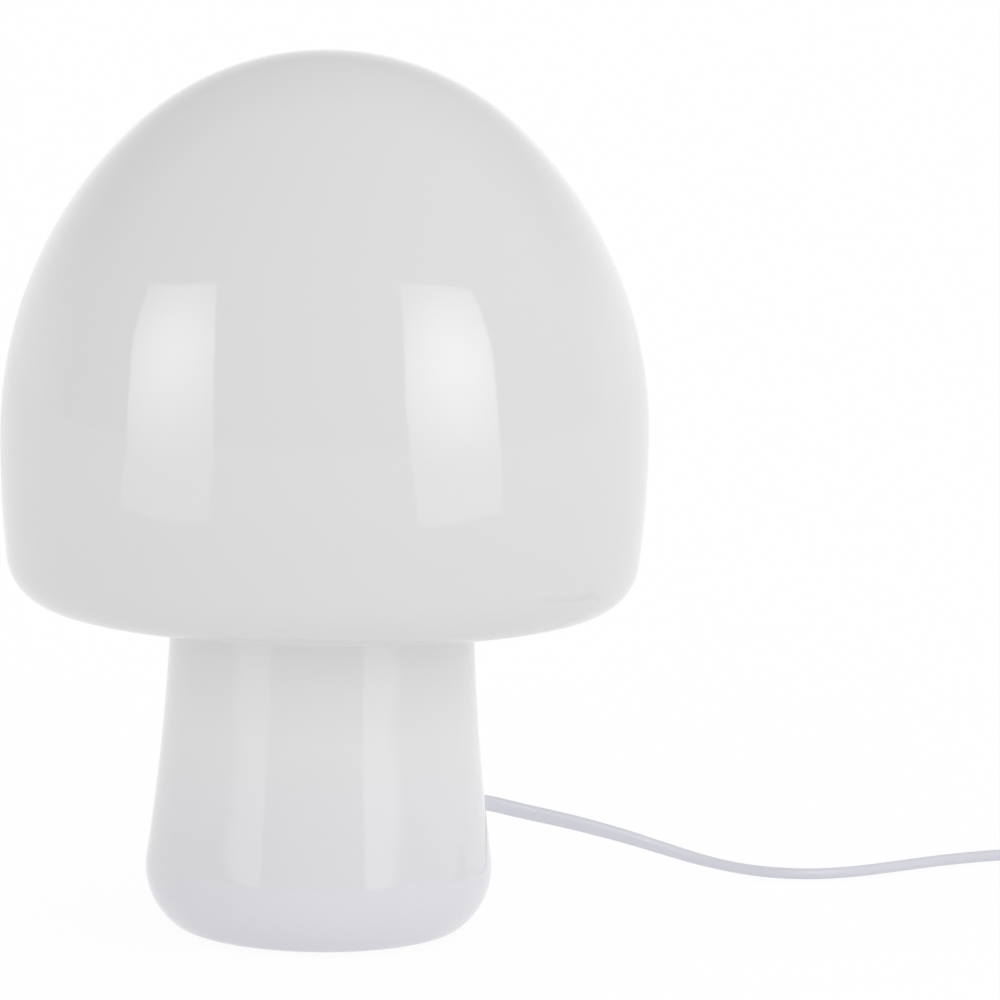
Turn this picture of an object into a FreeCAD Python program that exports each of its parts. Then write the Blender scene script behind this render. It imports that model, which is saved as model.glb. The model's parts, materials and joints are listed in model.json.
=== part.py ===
"""Mushroom table lamp: a one-piece opal glass body lifted over a base plug that carries the bulb,
with a flat mains cord, an in-line rocker switch, a coil of spare cord and a flat two-pin plug.

Millimetres, +Z up, origin on the table under the lamp's axis.
"""

import FreeCAD
import Part
import Sketcher

import math
import os

doc = FreeCAD.newDocument("MushroomLamp")
sheet = doc.addObject("Spreadsheet::Sheet", "Sizes")

# ---------------------------------------------------------------------------------------------
# Driving dimensions: name, millimetres (or degrees, or a count), what it is
# ---------------------------------------------------------------------------------------------
DIMENSIONS = [
    ("lamp_height", 280.0, "table to the top of the cap"),
    ("cap_radius", 102.4, "widest radius of the cap"),
    ("belt_drop", 121.1, "top of the cap down to its widest place"),
    ("crown_radius", 88.0, "roundness of the crown"),
    ("belt_curve", 341.0, "gentle curve from the belt down to the rim"),
    ("rim_roundness", 16.8, "roundness of the rim"),
    ("cap_depth", 175.8, "top of the cap down to the lowest place of its rim"),
    ("neck_drop", 1.2, "rim down to where the stem starts to curve into the cap"),
    ("neck_radius", 48.1, "radius of the stem there"),
    ("neck_fillet", 6.0, "fillet between stem and cap"),
    ("stem_curve", 700.0, "hollow curve of the stem's side"),
    ("foot_radius", 55.2, "widest radius of the foot"),
    ("foot_belt_height", 20.4, "height of the foot's widest place"),
    ("foot_roundness", 22.7, "roundness of the foot's side"),
    ("foot_corner", 10.0, "roundness of the foot's lower corner"),
    ("foot_gap", 0.8, "glass rim to table"),
    ("glass_wall", 4.0, "thickness of the glass"),
    ("lip_thickness", 4.0, "thickness of the lip round the mouth"),
    ("mouth_radius", 30.0, "radius of the open mouth in the foot"),
    ("lip_width", 5.0, "flat of the lip that lies on the plug"),
    ("cord_turn", 30.0, "angle of the cord exit from straight back"),
    ("cord_hole_height", 26.5, "height of the cord hole"),
    ("cord_hole_radius", 5.0, "radius of the cord hole"),
    ("grommet_flange_radius", 7.5, "radius of the grommet's flange"),
    ("grommet_flange", 1.6, "grommet flange outside the glass"),
    ("grommet_inside", 4.8, "grommet inside the glass"),
    ("sleeve_length", 20.0, "tapered sleeve outside the flange"),
    ("sleeve_tip", 1.0, "wall of the sleeve at its tip"),
    ("foot_ring_inner", 22.0, "inner radius of the foam foot ring"),
    ("foot_ring_outer", 33.5, "outer radius of the foam foot ring"),
    ("foot_ring_height", 2.0, "thickness of the foam foot ring"),
    ("flange_thickness", 2.0, "thickness of the plug's flange"),
    ("flange_overlap", 4.0, "flange beyond the mouth"),
    ("plug_clearance", 0.6, "plug to mouth, on the radius"),
    ("plug_rise", 6.0, "height of the plug above its flange"),
    ("nut_recess", 12.0, "radius of the recess for the nut"),
    ("recess_depth", 4.0, "depth of the recess"),
    ("clip_width", 8.0, "width of a spring clip"),
    ("clip_metal", 0.6, "thickness of a spring clip"),
    ("clip_fold", 1.8, "how far a clip's fold stands out"),
    ("clip_height", 9.0, "height of a spring clip"),
    ("clip_gap", 0.3, "clip to mouth"),
    ("tube_radius", 5.0, "outside radius of the threaded tube"),
    ("tube_bore", 3.5, "bore radius of the threaded tube"),
    ("tube_recess", 0.4, "lower end of the tube above the flange's underside"),
    ("tube_stand", 2.4, "tube inside the lampholder's cap"),
    ("thread_clearance", 0.05, "nut to tube, on the radius"),
    ("nut_across", 8.1, "nut radius to its corners"),
    ("nut_thickness", 2.6, "thickness of a tube nut"),
    ("washer_radius", 10.0, "radius of the washer"),
    ("washer_thickness", 0.8, "thickness of the washer"),
    ("holder_radius", 14.0, "radius of the lampholder"),
    ("holder_wall", 1.5, "wall of the lampholder's cap and shell"),
    ("holder_cone", 5.5, "height of the cap's cone"),
    ("cap_margin", 1.0, "flat of the cap round its nut"),
    ("cap_step", 0.5, "cone's inside above its outside"),
    ("holder_cap_height", 17.0, "height of the lampholder's cap"),
    ("holder_shell_height", 26.0, "height of the lampholder's shell"),
    ("shell_collar", 3.0, "straight part of the shell"),
    ("holder_taper", 1.0, "shell's loss of radius to its mouth"),
    ("core_thickness", 8.0, "thickness of the insulating core's base"),
    ("core_drop", 4.0, "core's base below the cap's top"),
    ("core_step", 2.0, "slope from the core's base to its cup"),
    ("core_wall", 1.4, "wall of the core's cup"),
    ("core_clearance", 0.2, "core to the shell round it"),
    ("terminal_inset", 4.2, "terminal screws in from the core's edge"),
    ("terminal_shank", 1.2, "radius of a terminal screw"),
    ("terminal_head", 2.3, "radius of a terminal screw's head"),
    ("terminal_depth", 4.0, "length of a terminal screw"),
    ("screw_head_height", 1.6, "thickness of a screw head"),
    ("screw_depth", 16.0, "depth of the threaded contact shell"),
    ("bulb_thread", 6.9, "outside radius of the bulb's thread"),
    ("bulb_thread_depth", 0.6, "depth of the bulb's thread"),
    ("bulb_pitch", 2.822, "pitch of the bulb's thread"),
    ("thread_start", 1.0, "plain wall of the contact shell below its thread"),
    ("bulb_clearance", 0.1, "bulb's thread to the contact shell"),
    ("contact_metal", 0.5, "thickness of the contact metal"),
    ("contact_rise", 3.0, "bulb's tip above the core's floor"),
    ("contact_reach", 3.2, "centre contact to each side of the axis"),
    ("contact_width", 3.0, "width of the centre contact"),
    ("port_height", 8.0, "cord port above the cap's bottom"),
    ("grip_radius", 4.6, "radius of the cord grip"),
    ("grip_length", 7.0, "length of the cord grip outside the cap"),
    ("grip_entry", 2.0, "cord grip inside the cap's wall"),
    ("grip_rim", 1.4, "rim of the cord grip beyond its tube"),
    ("grip_rim_thickness", 2.0, "thickness of the cord grip's rim"),
    ("grip_screw_inset", 3.5, "clamp screw in from the grip's end"),
    ("grip_screw_radius", 1.2, "radius of the clamp screw"),
    ("grip_screw_length", 3.2, "length of the clamp screw"),
    ("wire_radius", 0.9, "radius of an insulated wire"),
    ("tip_radius", 2.4, "radius of the bulb's tip contact"),
    ("tip_height", 1.2, "thickness of the tip contact"),
    ("insulator_height", 2.4, "height of the insulator round the tip"),
    ("cap_metal", 0.6, "thickness of the bulb's cap at its skirt"),
    ("cap_skirt", 2.0, "skirt of the bulb's cap above its thread"),
    ("bulb_radius", 22.5, "radius of the bulb"),
    ("bulb_length", 73.0, "bulb from tip contact to top"),
    ("bulb_wall", 0.8, "thickness of the bulb's glass"),
    ("collar_radius", 13.0, "radius of the bulb's collar"),
    ("collar_height", 12.0, "height of the bulb's collar"),
    ("collar_edge", 2.0, "straight edge of the collar"),
    ("stem_radius", 2.2, "radius of the bulb's glass stem"),
    ("stem_flare", 4.0, "foot of the stem above the collar"),
    ("stem_rise", 4.0, "stem above the middle of the bulb"),
    ("filament_ring", 6.5, "light filaments from the bulb's axis"),
    ("frame_thickness", 0.8, "thickness of the filaments' frame"),
    ("filament_radius", 1.1, "radius of a light filament"),
    ("filament_length", 27.0, "length of a light filament"),
    ("cord_diameter", 5.2, "the flat cord's width"),
    ("cord_clearance", 0.05, "cord to the hole it goes through"),
    ("switch_x", 282.6, "middle of the switch, to the right"),
    ("switch_y", 45.0, "middle of the switch, to the back"),
    ("switch_length", 62.0, "length of the switch"),
    ("switch_width", 24.0, "width of the switch"),
    ("switch_split", 9.0, "height of the lower half"),
    ("switch_upper", 9.5, "height of the upper half"),
    ("switch_wall", 3.0, "end walls of the switch"),
    ("switch_skin", 2.0, "floor and roof of the switch"),
    ("switch_corner", 7.0, "rounded ends of the switch"),
    ("switch_cord_height", 6.0, "height of the cord in the switch"),
    ("rocker_length", 20.4, "length of the rocker"),
    ("rocker_width", 10.0, "width of the rocker"),
    ("rocker_play", 0.5, "rocker to the side of its window"),
    ("rocker_tilt", 12.0, "tilt of the rocker from level, in degrees"),
    ("axle_radius", 1.0, "radius of the rocker's pin"),
    ("axle_play", 0.05, "pin to the rocker's bore"),
    ("cover_screw", 1.2, "radius of a cover screw"),
    ("coil_middle", 31.2, "radius at the middle of the coil's turns"),
    ("coil_pitch", 5.7, "step from turn to turn and layer to layer"),
    ("coil_turns", 3.0, "turns in each of the two layers"),
    ("coil_dip", 1.4, "how far the climbing half turn draws in"),
    ("coil_lift", 0.6, "tie under the coil"),
    ("coil_y", -33.0, "middle of the coil, to the back"),
    ("tie_width", 5.0, "width of the cord tie"),
    ("tie_play", 0.5, "coil to the tie's sides"),
    ("plug_x", 346.0, "middle of the mains plug, to the right"),
    ("plug_y", 52.0, "where the cord enters the mains plug"),
    ("plug_length", 36.0, "length of the plug's body"),
    ("plug_width", 34.0, "width of the plug's body"),
    ("plug_thickness", 13.7, "thickness of the plug's body"),
    ("plug_corner", 3.0, "roundness of the plug's corners"),
    ("plug_neck", 11.0, "width of the body where the cord enters"),
    ("pin_radius", 2.0, "radius of a pin"),
    ("pin_length", 19.0, "length of a pin"),
    ("pin_spacing", 19.0, "pin to pin"),
    ("pin_root", 6.0, "root of a pin inside the plug's body"),
    ("pin_root_radius", 1.5, "radius of a pin's root"),
]


class Size:
    """A length known both as a formula over the sheet and as a number."""

    def __init__(self, formula, value):
        self.formula = formula
        self.value = value

    def __add__(self, other):
        return joined(self, "+", other, lambda a, b: a + b)

    def __radd__(self, other):
        return joined(other, "+", self, lambda a, b: a + b)

    def __sub__(self, other):
        return joined(self, "-", other, lambda a, b: a - b)

    def __rsub__(self, other):
        return joined(other, "-", self, lambda a, b: a - b)

    def __mul__(self, other):
        return joined(self, "*", other, lambda a, b: a * b)

    def __rmul__(self, other):
        return joined(other, "*", self, lambda a, b: a * b)

    def __truediv__(self, other):
        return joined(self, "/", other, lambda a, b: a / b)

    def __rtruediv__(self, other):
        return joined(other, "/", self, lambda a, b: a / b)

    def __neg__(self):
        return Size(f"(0 - {self.formula})", -self.value)


def as_size(amount):
    return amount if isinstance(amount, Size) else Size(repr(float(amount)), float(amount))


def joined(left, sign, right, work):
    left, right = as_size(left), as_size(right)
    return Size(f"({left.formula} {sign} {right.formula})", work(left.value, right.value))


def root(size):
    return Size(f"sqrt({size.formula})", math.sqrt(size.value))


def sine(size):
    return Size(f"sin({size.formula})", math.sin(math.radians(size.value)))


def cosine(size):
    return Size(f"cos({size.formula})", math.cos(math.radians(size.value)))


class Sizes:
    """The sheet's cells by name: d.cap_radius is the cell's Size."""


d = Sizes()
for row, (name, amount, meaning) in enumerate(DIMENSIONS, 1):
    sheet.set(f"A{row}", meaning)
    sheet.set(f"B{row}", str(amount))
    sheet.setAlias(f"B{row}", name)
    setattr(d, name, Size(f"Sizes.{name}", amount))
doc.recompute()

pieces = {}


# ---------------------------------------------------------------------------------------------
# Ways of making a piece
# ---------------------------------------------------------------------------------------------
def bind(thing, field, size):
    thing.setExpression(field, as_size(size).formula)


def keep(name, thing):
    """thing is finished and is the lamp's piece of that name."""
    thing.Label = name
    pieces[name] = thing
    return thing


def put(thing, x=0.0, y=0.0, z=0.0, turn=0.0, tip=None):
    """Places thing at a point, tipped about an axis first and then turned about Z."""
    turned_round = FreeCAD.Rotation(FreeCAD.Vector(0, 0, 1), as_size(turn).value)
    rotation = turned_round.multiply(tip) if tip else turned_round
    corner = [as_size(c) for c in (x, y, z)]
    thing.Placement = FreeCAD.Placement(FreeCAD.Vector(*[c.value for c in corner]), rotation)
    for field, c in zip(("x", "y", "z"), corner):
        bind(thing, f"Placement.Base.{field}", c)
    return thing


TIP_FORWARD = FreeCAD.Rotation(FreeCAD.Vector(0, 1, 0), 90)  # +Z becomes +X
TIP_BACK = FreeCAD.Rotation(FreeCAD.Vector(1, 0, 0), -90)  # +Z becomes +Y
UPSIDE_DOWN = FreeCAD.Rotation(FreeCAD.Vector(1, 0, 0), 180)


def arc_centre(start, end, radius, left):
    """Centre of the short arc from start to end, to the left or the right of the way."""
    across, along = end[0] - start[0], end[1] - start[1]
    chord = math.hypot(across, along)
    rise = math.sqrt(max(radius * radius - chord * chord / 4, 0.0))
    side = 1 if left else -1
    return (
        (start[0] + end[0]) / 2 - side * rise * along / chord,
        (start[1] + end[1]) / 2 + side * rise * across / chord,
    )


def sketch_in(body, plane, corners, offset=None):
    """A closed outline in body. Each corner is (x, y), or (x, y, radius, left) where an arc
    of that radius, with its centre to the left or right, leads to the next corner."""
    sketch = body.newObject("Sketcher::SketchObject", "Outline")
    sketch.AttachmentSupport = [
        (next(f for f in body.Origin.OriginFeatures if f.Role == plane), "")
    ]
    sketch.MapMode = "FlatFace"
    if offset is not None:
        bind(sketch, "AttachmentOffset.Base.z", offset)
    ends = []
    number = len(corners)
    for i, corner in enumerate(corners):
        start = [as_size(c).value for c in corner[:2]]
        end = [as_size(c).value for c in corners[(i + 1) % number][:2]]
        if len(corner) == 2:
            sketch.addGeometry(
                Part.LineSegment(FreeCAD.Vector(*start, 0), FreeCAD.Vector(*end, 0)), False
            )
            ends.append((1, 2))
            continue
        radius, left = as_size(corner[2]).value, corner[3]
        centre = arc_centre(start, end, radius, left)
        first, last = (start, end) if left else (end, start)
        angles = [math.atan2(p[1] - centre[1], p[0] - centre[0]) for p in (first, last)]
        circle = Part.Circle(FreeCAD.Vector(*centre, 0), FreeCAD.Vector(0, 0, 1), radius)
        sketch.addGeometry(Part.ArcOfCircle(circle, *angles), False)
        ends.append((1, 2) if left else (2, 1))
    for i, corner in enumerate(corners):
        after = (i + 1) % number
        sketch.addConstraint(
            Sketcher.Constraint("Coincident", i, ends[i][1], after, ends[after][0])
        )
        for axis, kind, size in ((-2, "DistanceX", corner[0]), (-1, "DistanceY", corner[1])):
            size = as_size(size)
            if abs(size.value) < 1e-9:
                sketch.addConstraint(
                    Sketcher.Constraint("PointOnObject", i, ends[i][0], axis)
                )
                continue
            constraint = sketch.addConstraint(
                Sketcher.Constraint(kind, i, ends[i][0], size.value)
            )
            bind(sketch, f"Constraints[{constraint}]", size)
        if len(corner) > 2:
            constraint = sketch.addConstraint(
                Sketcher.Constraint("Radius", i, as_size(corner[2]).value)
            )
            bind(sketch, f"Constraints[{constraint}]", corner[2])
    return sketch


def turned(name, corners):
    """A solid of revolution about Z, from its half outline (radius, height)."""
    body = doc.addObject("PartDesign::Body", name)
    sketch = sketch_in(body, "XZ_Plane", corners)
    revolution = body.newObject("PartDesign::Revolution", "Turned")
    revolution.Profile = sketch
    revolution.ReferenceAxis = (sketch, ["V_Axis"])
    revolution.Angle = 360
    return body


def plate(name, corners, low, high):
    """A flat outline (x, y), padded from one height to another."""
    body = doc.addObject("PartDesign::Body", name)
    pad = body.newObject("PartDesign::Pad", "Thickness")
    pad.Profile = sketch_in(body, "XY_Plane", corners, low)
    bind(pad, "Length", high - low)
    return body


def profile(name, corners, width):
    """An upright outline (x, z), padded to both sides of the XZ plane."""
    body = doc.addObject("PartDesign::Body", name)
    pad = body.newObject("PartDesign::Pad", "Width")
    pad.Profile = sketch_in(body, "XZ_Plane", corners)
    pad.Midplane = True
    bind(pad, "Length", width)
    return body


def rod(name, radius, length):
    thing = doc.addObject("Part::Cylinder", name)
    bind(thing, "Radius", radius)
    bind(thing, "Height", length)
    return thing


def block(name, length, width, height, x=0.0, y=0.0, z=0.0):
    """A block centred on (x, y), standing on z."""
    thing = doc.addObject("Part::Box", name)
    bind(thing, "Length", length)
    bind(thing, "Width", width)
    bind(thing, "Height", height)
    return put(thing, x - as_size(length) / 2, y - as_size(width) / 2, z)


def cut(name, base, *tools):
    for tool in tools:
        made = doc.addObject("Part::Cut", name)
        made.Base = base
        made.Tool = tool
        base = made
    return base


def fused(name, *things):
    made = doc.addObject("Part::MultiFuse", name)
    made.Shapes = list(things)
    return made


def group(name, *things):
    made = doc.addObject("Part::Compound", name)
    made.Links = list(things)
    return made


def rounded(length, width, corner):
    """Corners of a rounded rectangle about the origin, anticlockwise."""
    x, y = length / 2, width / 2
    return [
        (corner - x, -y),
        (x - corner, -y, corner, True),
        (x, corner - y),
        (x, y - corner, corner, True),
        (x - corner, y),
        (corner - x, y, corner, True),
        (-x, y - corner),
        (-x, corner - y, corner, True),
    ]


def screw(name, shank, length, head, head_height):
    """A pan-head screw standing on its tip at the origin, head up."""
    top = rod(name + "_head", head, head_height)
    put(top, 0, 0, length)
    return fused(name, rod(name + "_shank", shank, length), top)


def exit_point(radius):
    """x and y of a point on the line of the cord hole, that far from the lamp's axis."""
    return radius * sine(d.cord_turn), radius * cosine(d.cord_turn)


def beside_exit(offset):
    """x and y of a point level with the lamp's axis, that far to the right of the exit line."""
    return offset * cosine(d.cord_turn), -(offset * sine(d.cord_turn))


def toward_exit(thing, radius, height):
    """Stands thing's +Z along the line of the cord hole."""
    x, y = exit_point(radius)
    return put(thing, x, y, height, -d.cord_turn, TIP_BACK)


# ---------------------------------------------------------------------------------------------
# Cords: straight runs and tangent arcs, swept with a round section
# ---------------------------------------------------------------------------------------------
ARC_SHARE = 0.45  # of the shorter run, used up by the arc at its end


def arc_between(start, way, end):
    """The arc that leaves start along way and reaches end, as an edge."""
    chord = end - start
    along = chord * (1 / chord.Length)
    side = way - along * way.dot(along)
    if side.Length < 1e-6:
        return Part.LineSegment(start, end).toShape()
    angle = way.getAngle(along)
    middle = start + chord * 0.5 + side * (chord.Length / 2 * math.tan(angle / 2) / side.Length)
    return Part.Arc(start, middle, end).toShape()


def swept(name, edges, radius):
    """A round tube along edges, checked against section times length."""
    path = Part.Wire(edges)
    start = path.Edges[0].valueAt(path.Edges[0].FirstParameter)
    way = path.Edges[0].tangentAt(path.Edges[0].FirstParameter)
    ring = Part.Wire(Part.Circle(start, way, radius).toShape())
    tube = path.makePipeShell([ring], True, False)
    ideal = math.pi * radius * radius * path.Length
    print(f"{name}: length {path.Length:.1f}, volume off by {tube.Volume / ideal - 1:+.4%}")
    thing = doc.addObject("Part::Feature", name)
    thing.Shape = tube
    return thing


def cord_tube(name, points, radius):
    """A cord through points, each inner one rounded by as large an arc as its runs allow."""
    points = [FreeCAD.Vector(*p) for p in points]
    edges, reached, radii = [], points[0], []
    for before, corner, after in zip(points, points[1:], points[2:]):
        coming, going = corner - before, after - corner
        reach = ARC_SHARE * min(coming.Length, going.Length)
        half_turn = coming.getAngle(going) / 2
        radii.append(reach / math.tan(half_turn))
        coming.normalize()
        going.normalize()
        begin, end = corner - coming * reach, corner + going * reach
        edges.append(Part.LineSegment(reached, begin).toShape())
        edges.append(arc_between(begin, coming, end))
        reached = end
    edges.append(Part.LineSegment(reached, points[-1]).toShape())
    print(f"{name}: radii", " ".join(f"{r:.0f}" for r in radii))
    return swept(name, edges, radius)


# ---------------------------------------------------------------------------------------------
# Glass body: cap and stem in one piece
# ---------------------------------------------------------------------------------------------
cap_belt_height = d.lamp_height - d.belt_drop
rim_height = d.lamp_height - d.cap_depth
neck_height = rim_height - d.neck_drop

# centres of the arcs of the outline, as (radius, height)
crown_z = d.lamp_height - d.crown_radius
crown_drop = crown_z - cap_belt_height
shoulder_radius = (
    d.cap_radius * d.cap_radius - d.crown_radius * d.crown_radius + crown_drop * crown_drop
) / (2 * (d.cap_radius - d.crown_radius))
shoulder = (d.cap_radius - shoulder_radius, cap_belt_height)
belt = (d.cap_radius - d.belt_curve, cap_belt_height)
rim_z = rim_height + d.rim_roundness
rim_drop = cap_belt_height - rim_z
rim_reach = d.belt_curve - d.rim_roundness
rim = (belt[0] + root(rim_reach * rim_reach - rim_drop * rim_drop), rim_z)
bulge = (d.foot_radius - d.foot_roundness, d.foot_belt_height)
corner_z = d.foot_gap + d.foot_corner
corner_reach = d.foot_roundness - d.foot_corner
corner_drop = d.foot_belt_height - corner_z
corner = (bulge[0] + root(corner_reach * corner_reach - corner_drop * corner_drop), corner_z)
neck = (d.neck_radius, neck_height)


def gap(start, end):
    """Across, up and straight from start to end."""
    across, up = end[0] - start[0], end[1] - start[1]
    return across, up, root(across * across + up * up)


def toward(start, end, reach):
    """The point that lies reach from start on the line to end."""
    across, up, straight = gap(start, end)
    return start[0] + across * reach / straight, start[1] + up * reach / straight


# the stem's hollow curve passes the neck and touches the foot's bulge from outside
across, up, straight = gap(bulge, neck)
touching = d.stem_curve + d.foot_roundness
ahead = (touching * touching - d.stem_curve * d.stem_curve + straight * straight) / (2 * straight)
aside = root(touching * touching - ahead * ahead)
stem = (
    bulge[0] + (across * ahead + up * aside) / straight,
    bulge[1] + (up * ahead - across * aside) / straight,
)
fillet = toward(neck, stem, d.neck_fillet)

# the underside is the straight line that touches the neck's fillet and the rim
across, up, straight = gap(fillet, rim)
both = (d.neck_fillet + d.rim_roundness) / straight
lean = root(1 - both * both)
under_x = (both * across - lean * up) / straight
under_z = (both * up + lean * across) / straight


def glass_outline(wall):
    """Corners of the glass's face that lies wall inside its outer face, from the top to the
    foot's bulge."""
    crown_arc = d.crown_radius - wall
    shoulder_arc = shoulder_radius - wall
    belt_arc = d.belt_curve - wall
    rim_arc = d.rim_roundness - wall
    fillet_arc = d.neck_fillet + wall
    stem_arc = d.stem_curve + wall
    return [
        (0.0, crown_z + crown_arc, crown_arc, False),
        (*toward((0.0 * d.cap_radius, crown_z), shoulder, -crown_arc), shoulder_arc, False),
        (d.cap_radius - wall, cap_belt_height, belt_arc, False),
        (*toward(belt, rim, belt_arc), rim_arc, False),
        (rim[0] - under_x * rim_arc, rim[1] - under_z * rim_arc),
        (fillet[0] + under_x * fillet_arc, fillet[1] + under_z * fillet_arc, fillet_arc, True),
        (*toward(stem, neck, stem_arc), stem_arc, True),
    ]


lip_low = d.foot_ring_height + d.flange_thickness
lip_high = lip_low + d.lip_thickness
inner_bulge = d.foot_roundness - d.glass_wall
inner_foot_drop = d.foot_belt_height - lip_high
inner_foot = bulge[0] + root(inner_bulge * inner_bulge - inner_foot_drop * inner_foot_drop)
flat_edge = d.mouth_radius + d.lip_width
foot_slope = lip_low - d.foot_gap

outer_face = glass_outline(as_size(0.0)) + [
    (*toward(bulge, stem, d.foot_roundness), d.foot_roundness, False),
    (*toward(bulge, corner, d.foot_roundness), d.foot_corner, False),
    (corner[0], d.foot_gap),
    (flat_edge + foot_slope, d.foot_gap),
    (flat_edge, lip_low),
    (d.mouth_radius, lip_low),
    (d.mouth_radius, lip_high),
    (inner_foot, lip_high, inner_bulge, True),
]


def backward(corners, last):
    """The same outline run the other way, ending at the point last."""
    ends = [c[:2] for c in corners] + [last]
    run = []
    for i in range(len(corners), 0, -1):
        before = corners[i - 1]
        run.append((*ends[i], before[2], not before[3]) if len(before) > 2 else ends[i])
    return run + [ends[0]]


inner_face = glass_outline(d.glass_wall)
inner_start = toward(bulge, stem, inner_bulge)
glass_shell = turned("glass_shell", outer_face + backward(inner_face, inner_start))
cord_bore = rod("cord_bore", d.cord_hole_radius, d.foot_radius)
toward_exit(cord_bore, d.mouth_radius, d.cord_hole_height)
glass_body = keep("glass_body", cut("glass_body", glass_shell, cord_bore))

# grommet: a soft bush whose flanges follow the glass, with a tapered sleeve outside
grommet_inner = d.foot_radius - d.glass_wall - d.grommet_inside
grommet_outer = d.foot_radius + d.grommet_flange
grommet_blank = rod("grommet_blank", d.grommet_flange_radius, grommet_outer - grommet_inner)
toward_exit(grommet_blank, grommet_inner, d.cord_hole_height)
lead_radius = d.cord_diameter / 2
lead_bore_radius = lead_radius + d.cord_clearance
sleeve = doc.addObject("Part::Cone", "sleeve")
bind(sleeve, "Radius1", d.cord_hole_radius)
bind(sleeve, "Radius2", lead_bore_radius + d.sleeve_tip)
bind(sleeve, "Height", d.sleeve_length)
toward_exit(sleeve, grommet_outer, d.cord_hole_height)
lead_bore = rod("lead_bore", lead_bore_radius, d.cap_radius)
toward_exit(lead_bore, grommet_inner - 1, d.cord_hole_height)
keep(
    "cord_grommet",
    cut(
        "cord_grommet",
        fused("grommet_solid", cut("grommet_flanges", grommet_blank, glass_body), sleeve),
        lead_bore,
    ),
)
sleeve_end = grommet_outer + d.sleeve_length

# ---------------------------------------------------------------------------------------------
# Base plug that the glass sits on
# ---------------------------------------------------------------------------------------------
keep(
    "foot_ring",
    turned(
        "foot_ring",
        [
            (d.foot_ring_inner, 0.0),
            (d.foot_ring_outer, 0.0),
            (d.foot_ring_outer, d.foot_ring_height),
            (d.foot_ring_inner, d.foot_ring_height),
        ],
    ),
)

flange_low = d.foot_ring_height
flange_radius = d.mouth_radius + d.flange_overlap
plug_radius = d.mouth_radius - d.plug_clearance
plug_top = lip_low + d.plug_rise
recess_top = flange_low + d.recess_depth
nut_bore = d.tube_radius + d.thread_clearance
base_plug_blank = turned(
    "base_plug_blank",
    [
        (nut_bore, recess_top),
        (d.nut_recess, recess_top),
        (d.nut_recess, flange_low),
        (flange_radius, flange_low),
        (flange_radius, lip_low),
        (plug_radius, lip_low),
        (plug_radius, plug_top),
        (nut_bore, plug_top),
    ],
)

CLIPS = 3
clip_face = d.mouth_radius - d.clip_gap
clip_back = clip_face - d.clip_fold
clip_foot = lip_low + d.clip_gap
clip_bend = clip_foot + d.clip_height / 3
clip_top = clip_foot + d.clip_height
slots, clips = [], []
for i in range(CLIPS):
    turn = 360.0 * i / CLIPS - 90
    slot = plate(
        f"clip_slot_{i}",
        [
            (clip_back, -(d.clip_width / 2 + d.clip_gap)),
            (d.mouth_radius, -(d.clip_width / 2 + d.clip_gap)),
            (d.mouth_radius, d.clip_width / 2 + d.clip_gap),
            (clip_back, d.clip_width / 2 + d.clip_gap),
        ],
        clip_foot,
        plug_top + 1,
    )
    slots.append(put(slot, turn=turn))
    clip = profile(
        f"clip_{i}",
        [
            (clip_back, clip_foot),
            (clip_back + d.clip_metal, clip_foot),
            (clip_face, (clip_foot + clip_bend) / 2),
            (clip_back + d.clip_metal, clip_bend + d.clip_metal),
            (clip_back + d.clip_metal, clip_top),
            (clip_back, clip_top),
            (clip_back, clip_bend),
            (clip_face - d.clip_metal * math.sqrt(2), (clip_foot + clip_bend) / 2),
        ],
        d.clip_width,
    )
    clips.append(put(clip, turn=turn))
keep("base_plug", cut("base_plug", base_plug_blank, *slots))
keep("retaining_clips", group("retaining_clips", *clips))

tube_low = flange_low + d.tube_recess
holder_low = plug_top + d.nut_thickness
tube_top = holder_low + d.holder_wall + d.tube_stand
keep(
    "threaded_tube",
    turned(
        "threaded_tube",
        [
            (d.tube_bore, tube_low),
            (d.tube_radius, tube_low),
            (d.tube_radius, tube_top),
            (d.tube_bore, tube_top),
        ],
    ),
)
keep(
    "tube_washer",
    turned(
        "tube_washer",
        [
            (nut_bore, recess_top - d.washer_thickness),
            (d.washer_radius, recess_top - d.washer_thickness),
            (d.washer_radius, recess_top),
            (nut_bore, recess_top),
        ],
    ),
)


def hex_nut(name, low):
    blank = doc.addObject("Part::Prism", name + "_blank")
    blank.Polygon = 6
    bind(blank, "Circumradius", d.nut_across)
    bind(blank, "Height", d.nut_thickness)
    put(blank, 0, 0, low)
    hole = put(rod(name + "_hole", nut_bore, d.nut_thickness + 2), 0, 0, low - 1)
    return keep(name, cut(name, blank, hole))


hex_nut("tube_nut", recess_top - d.washer_thickness - d.nut_thickness)
hex_nut("lock_nut", plug_top)

# ---------------------------------------------------------------------------------------------
# Lampholder
# ---------------------------------------------------------------------------------------------
cap_top = holder_low + d.holder_cap_height
cap_shoulder = holder_low + d.holder_cone
cap_inside = d.holder_radius - d.holder_wall
cap_floor = holder_low + d.holder_wall
port_z = holder_low + d.port_height
cap_blank = turned(
    "holder_cap_blank",
    [
        (nut_bore, holder_low),
        (d.nut_across + d.cap_margin, holder_low),
        (d.holder_radius, cap_shoulder),
        (d.holder_radius, cap_top),
        (cap_inside, cap_top),
        (cap_inside, cap_shoulder + d.cap_step),
        (d.nut_across, cap_floor),
        (nut_bore, cap_floor),
    ],
)
port = toward_exit(rod("port", d.grip_radius, d.holder_radius), d.tube_radius, port_z)
keep("holder_cap", cut("holder_cap", cap_blank, port))

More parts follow.
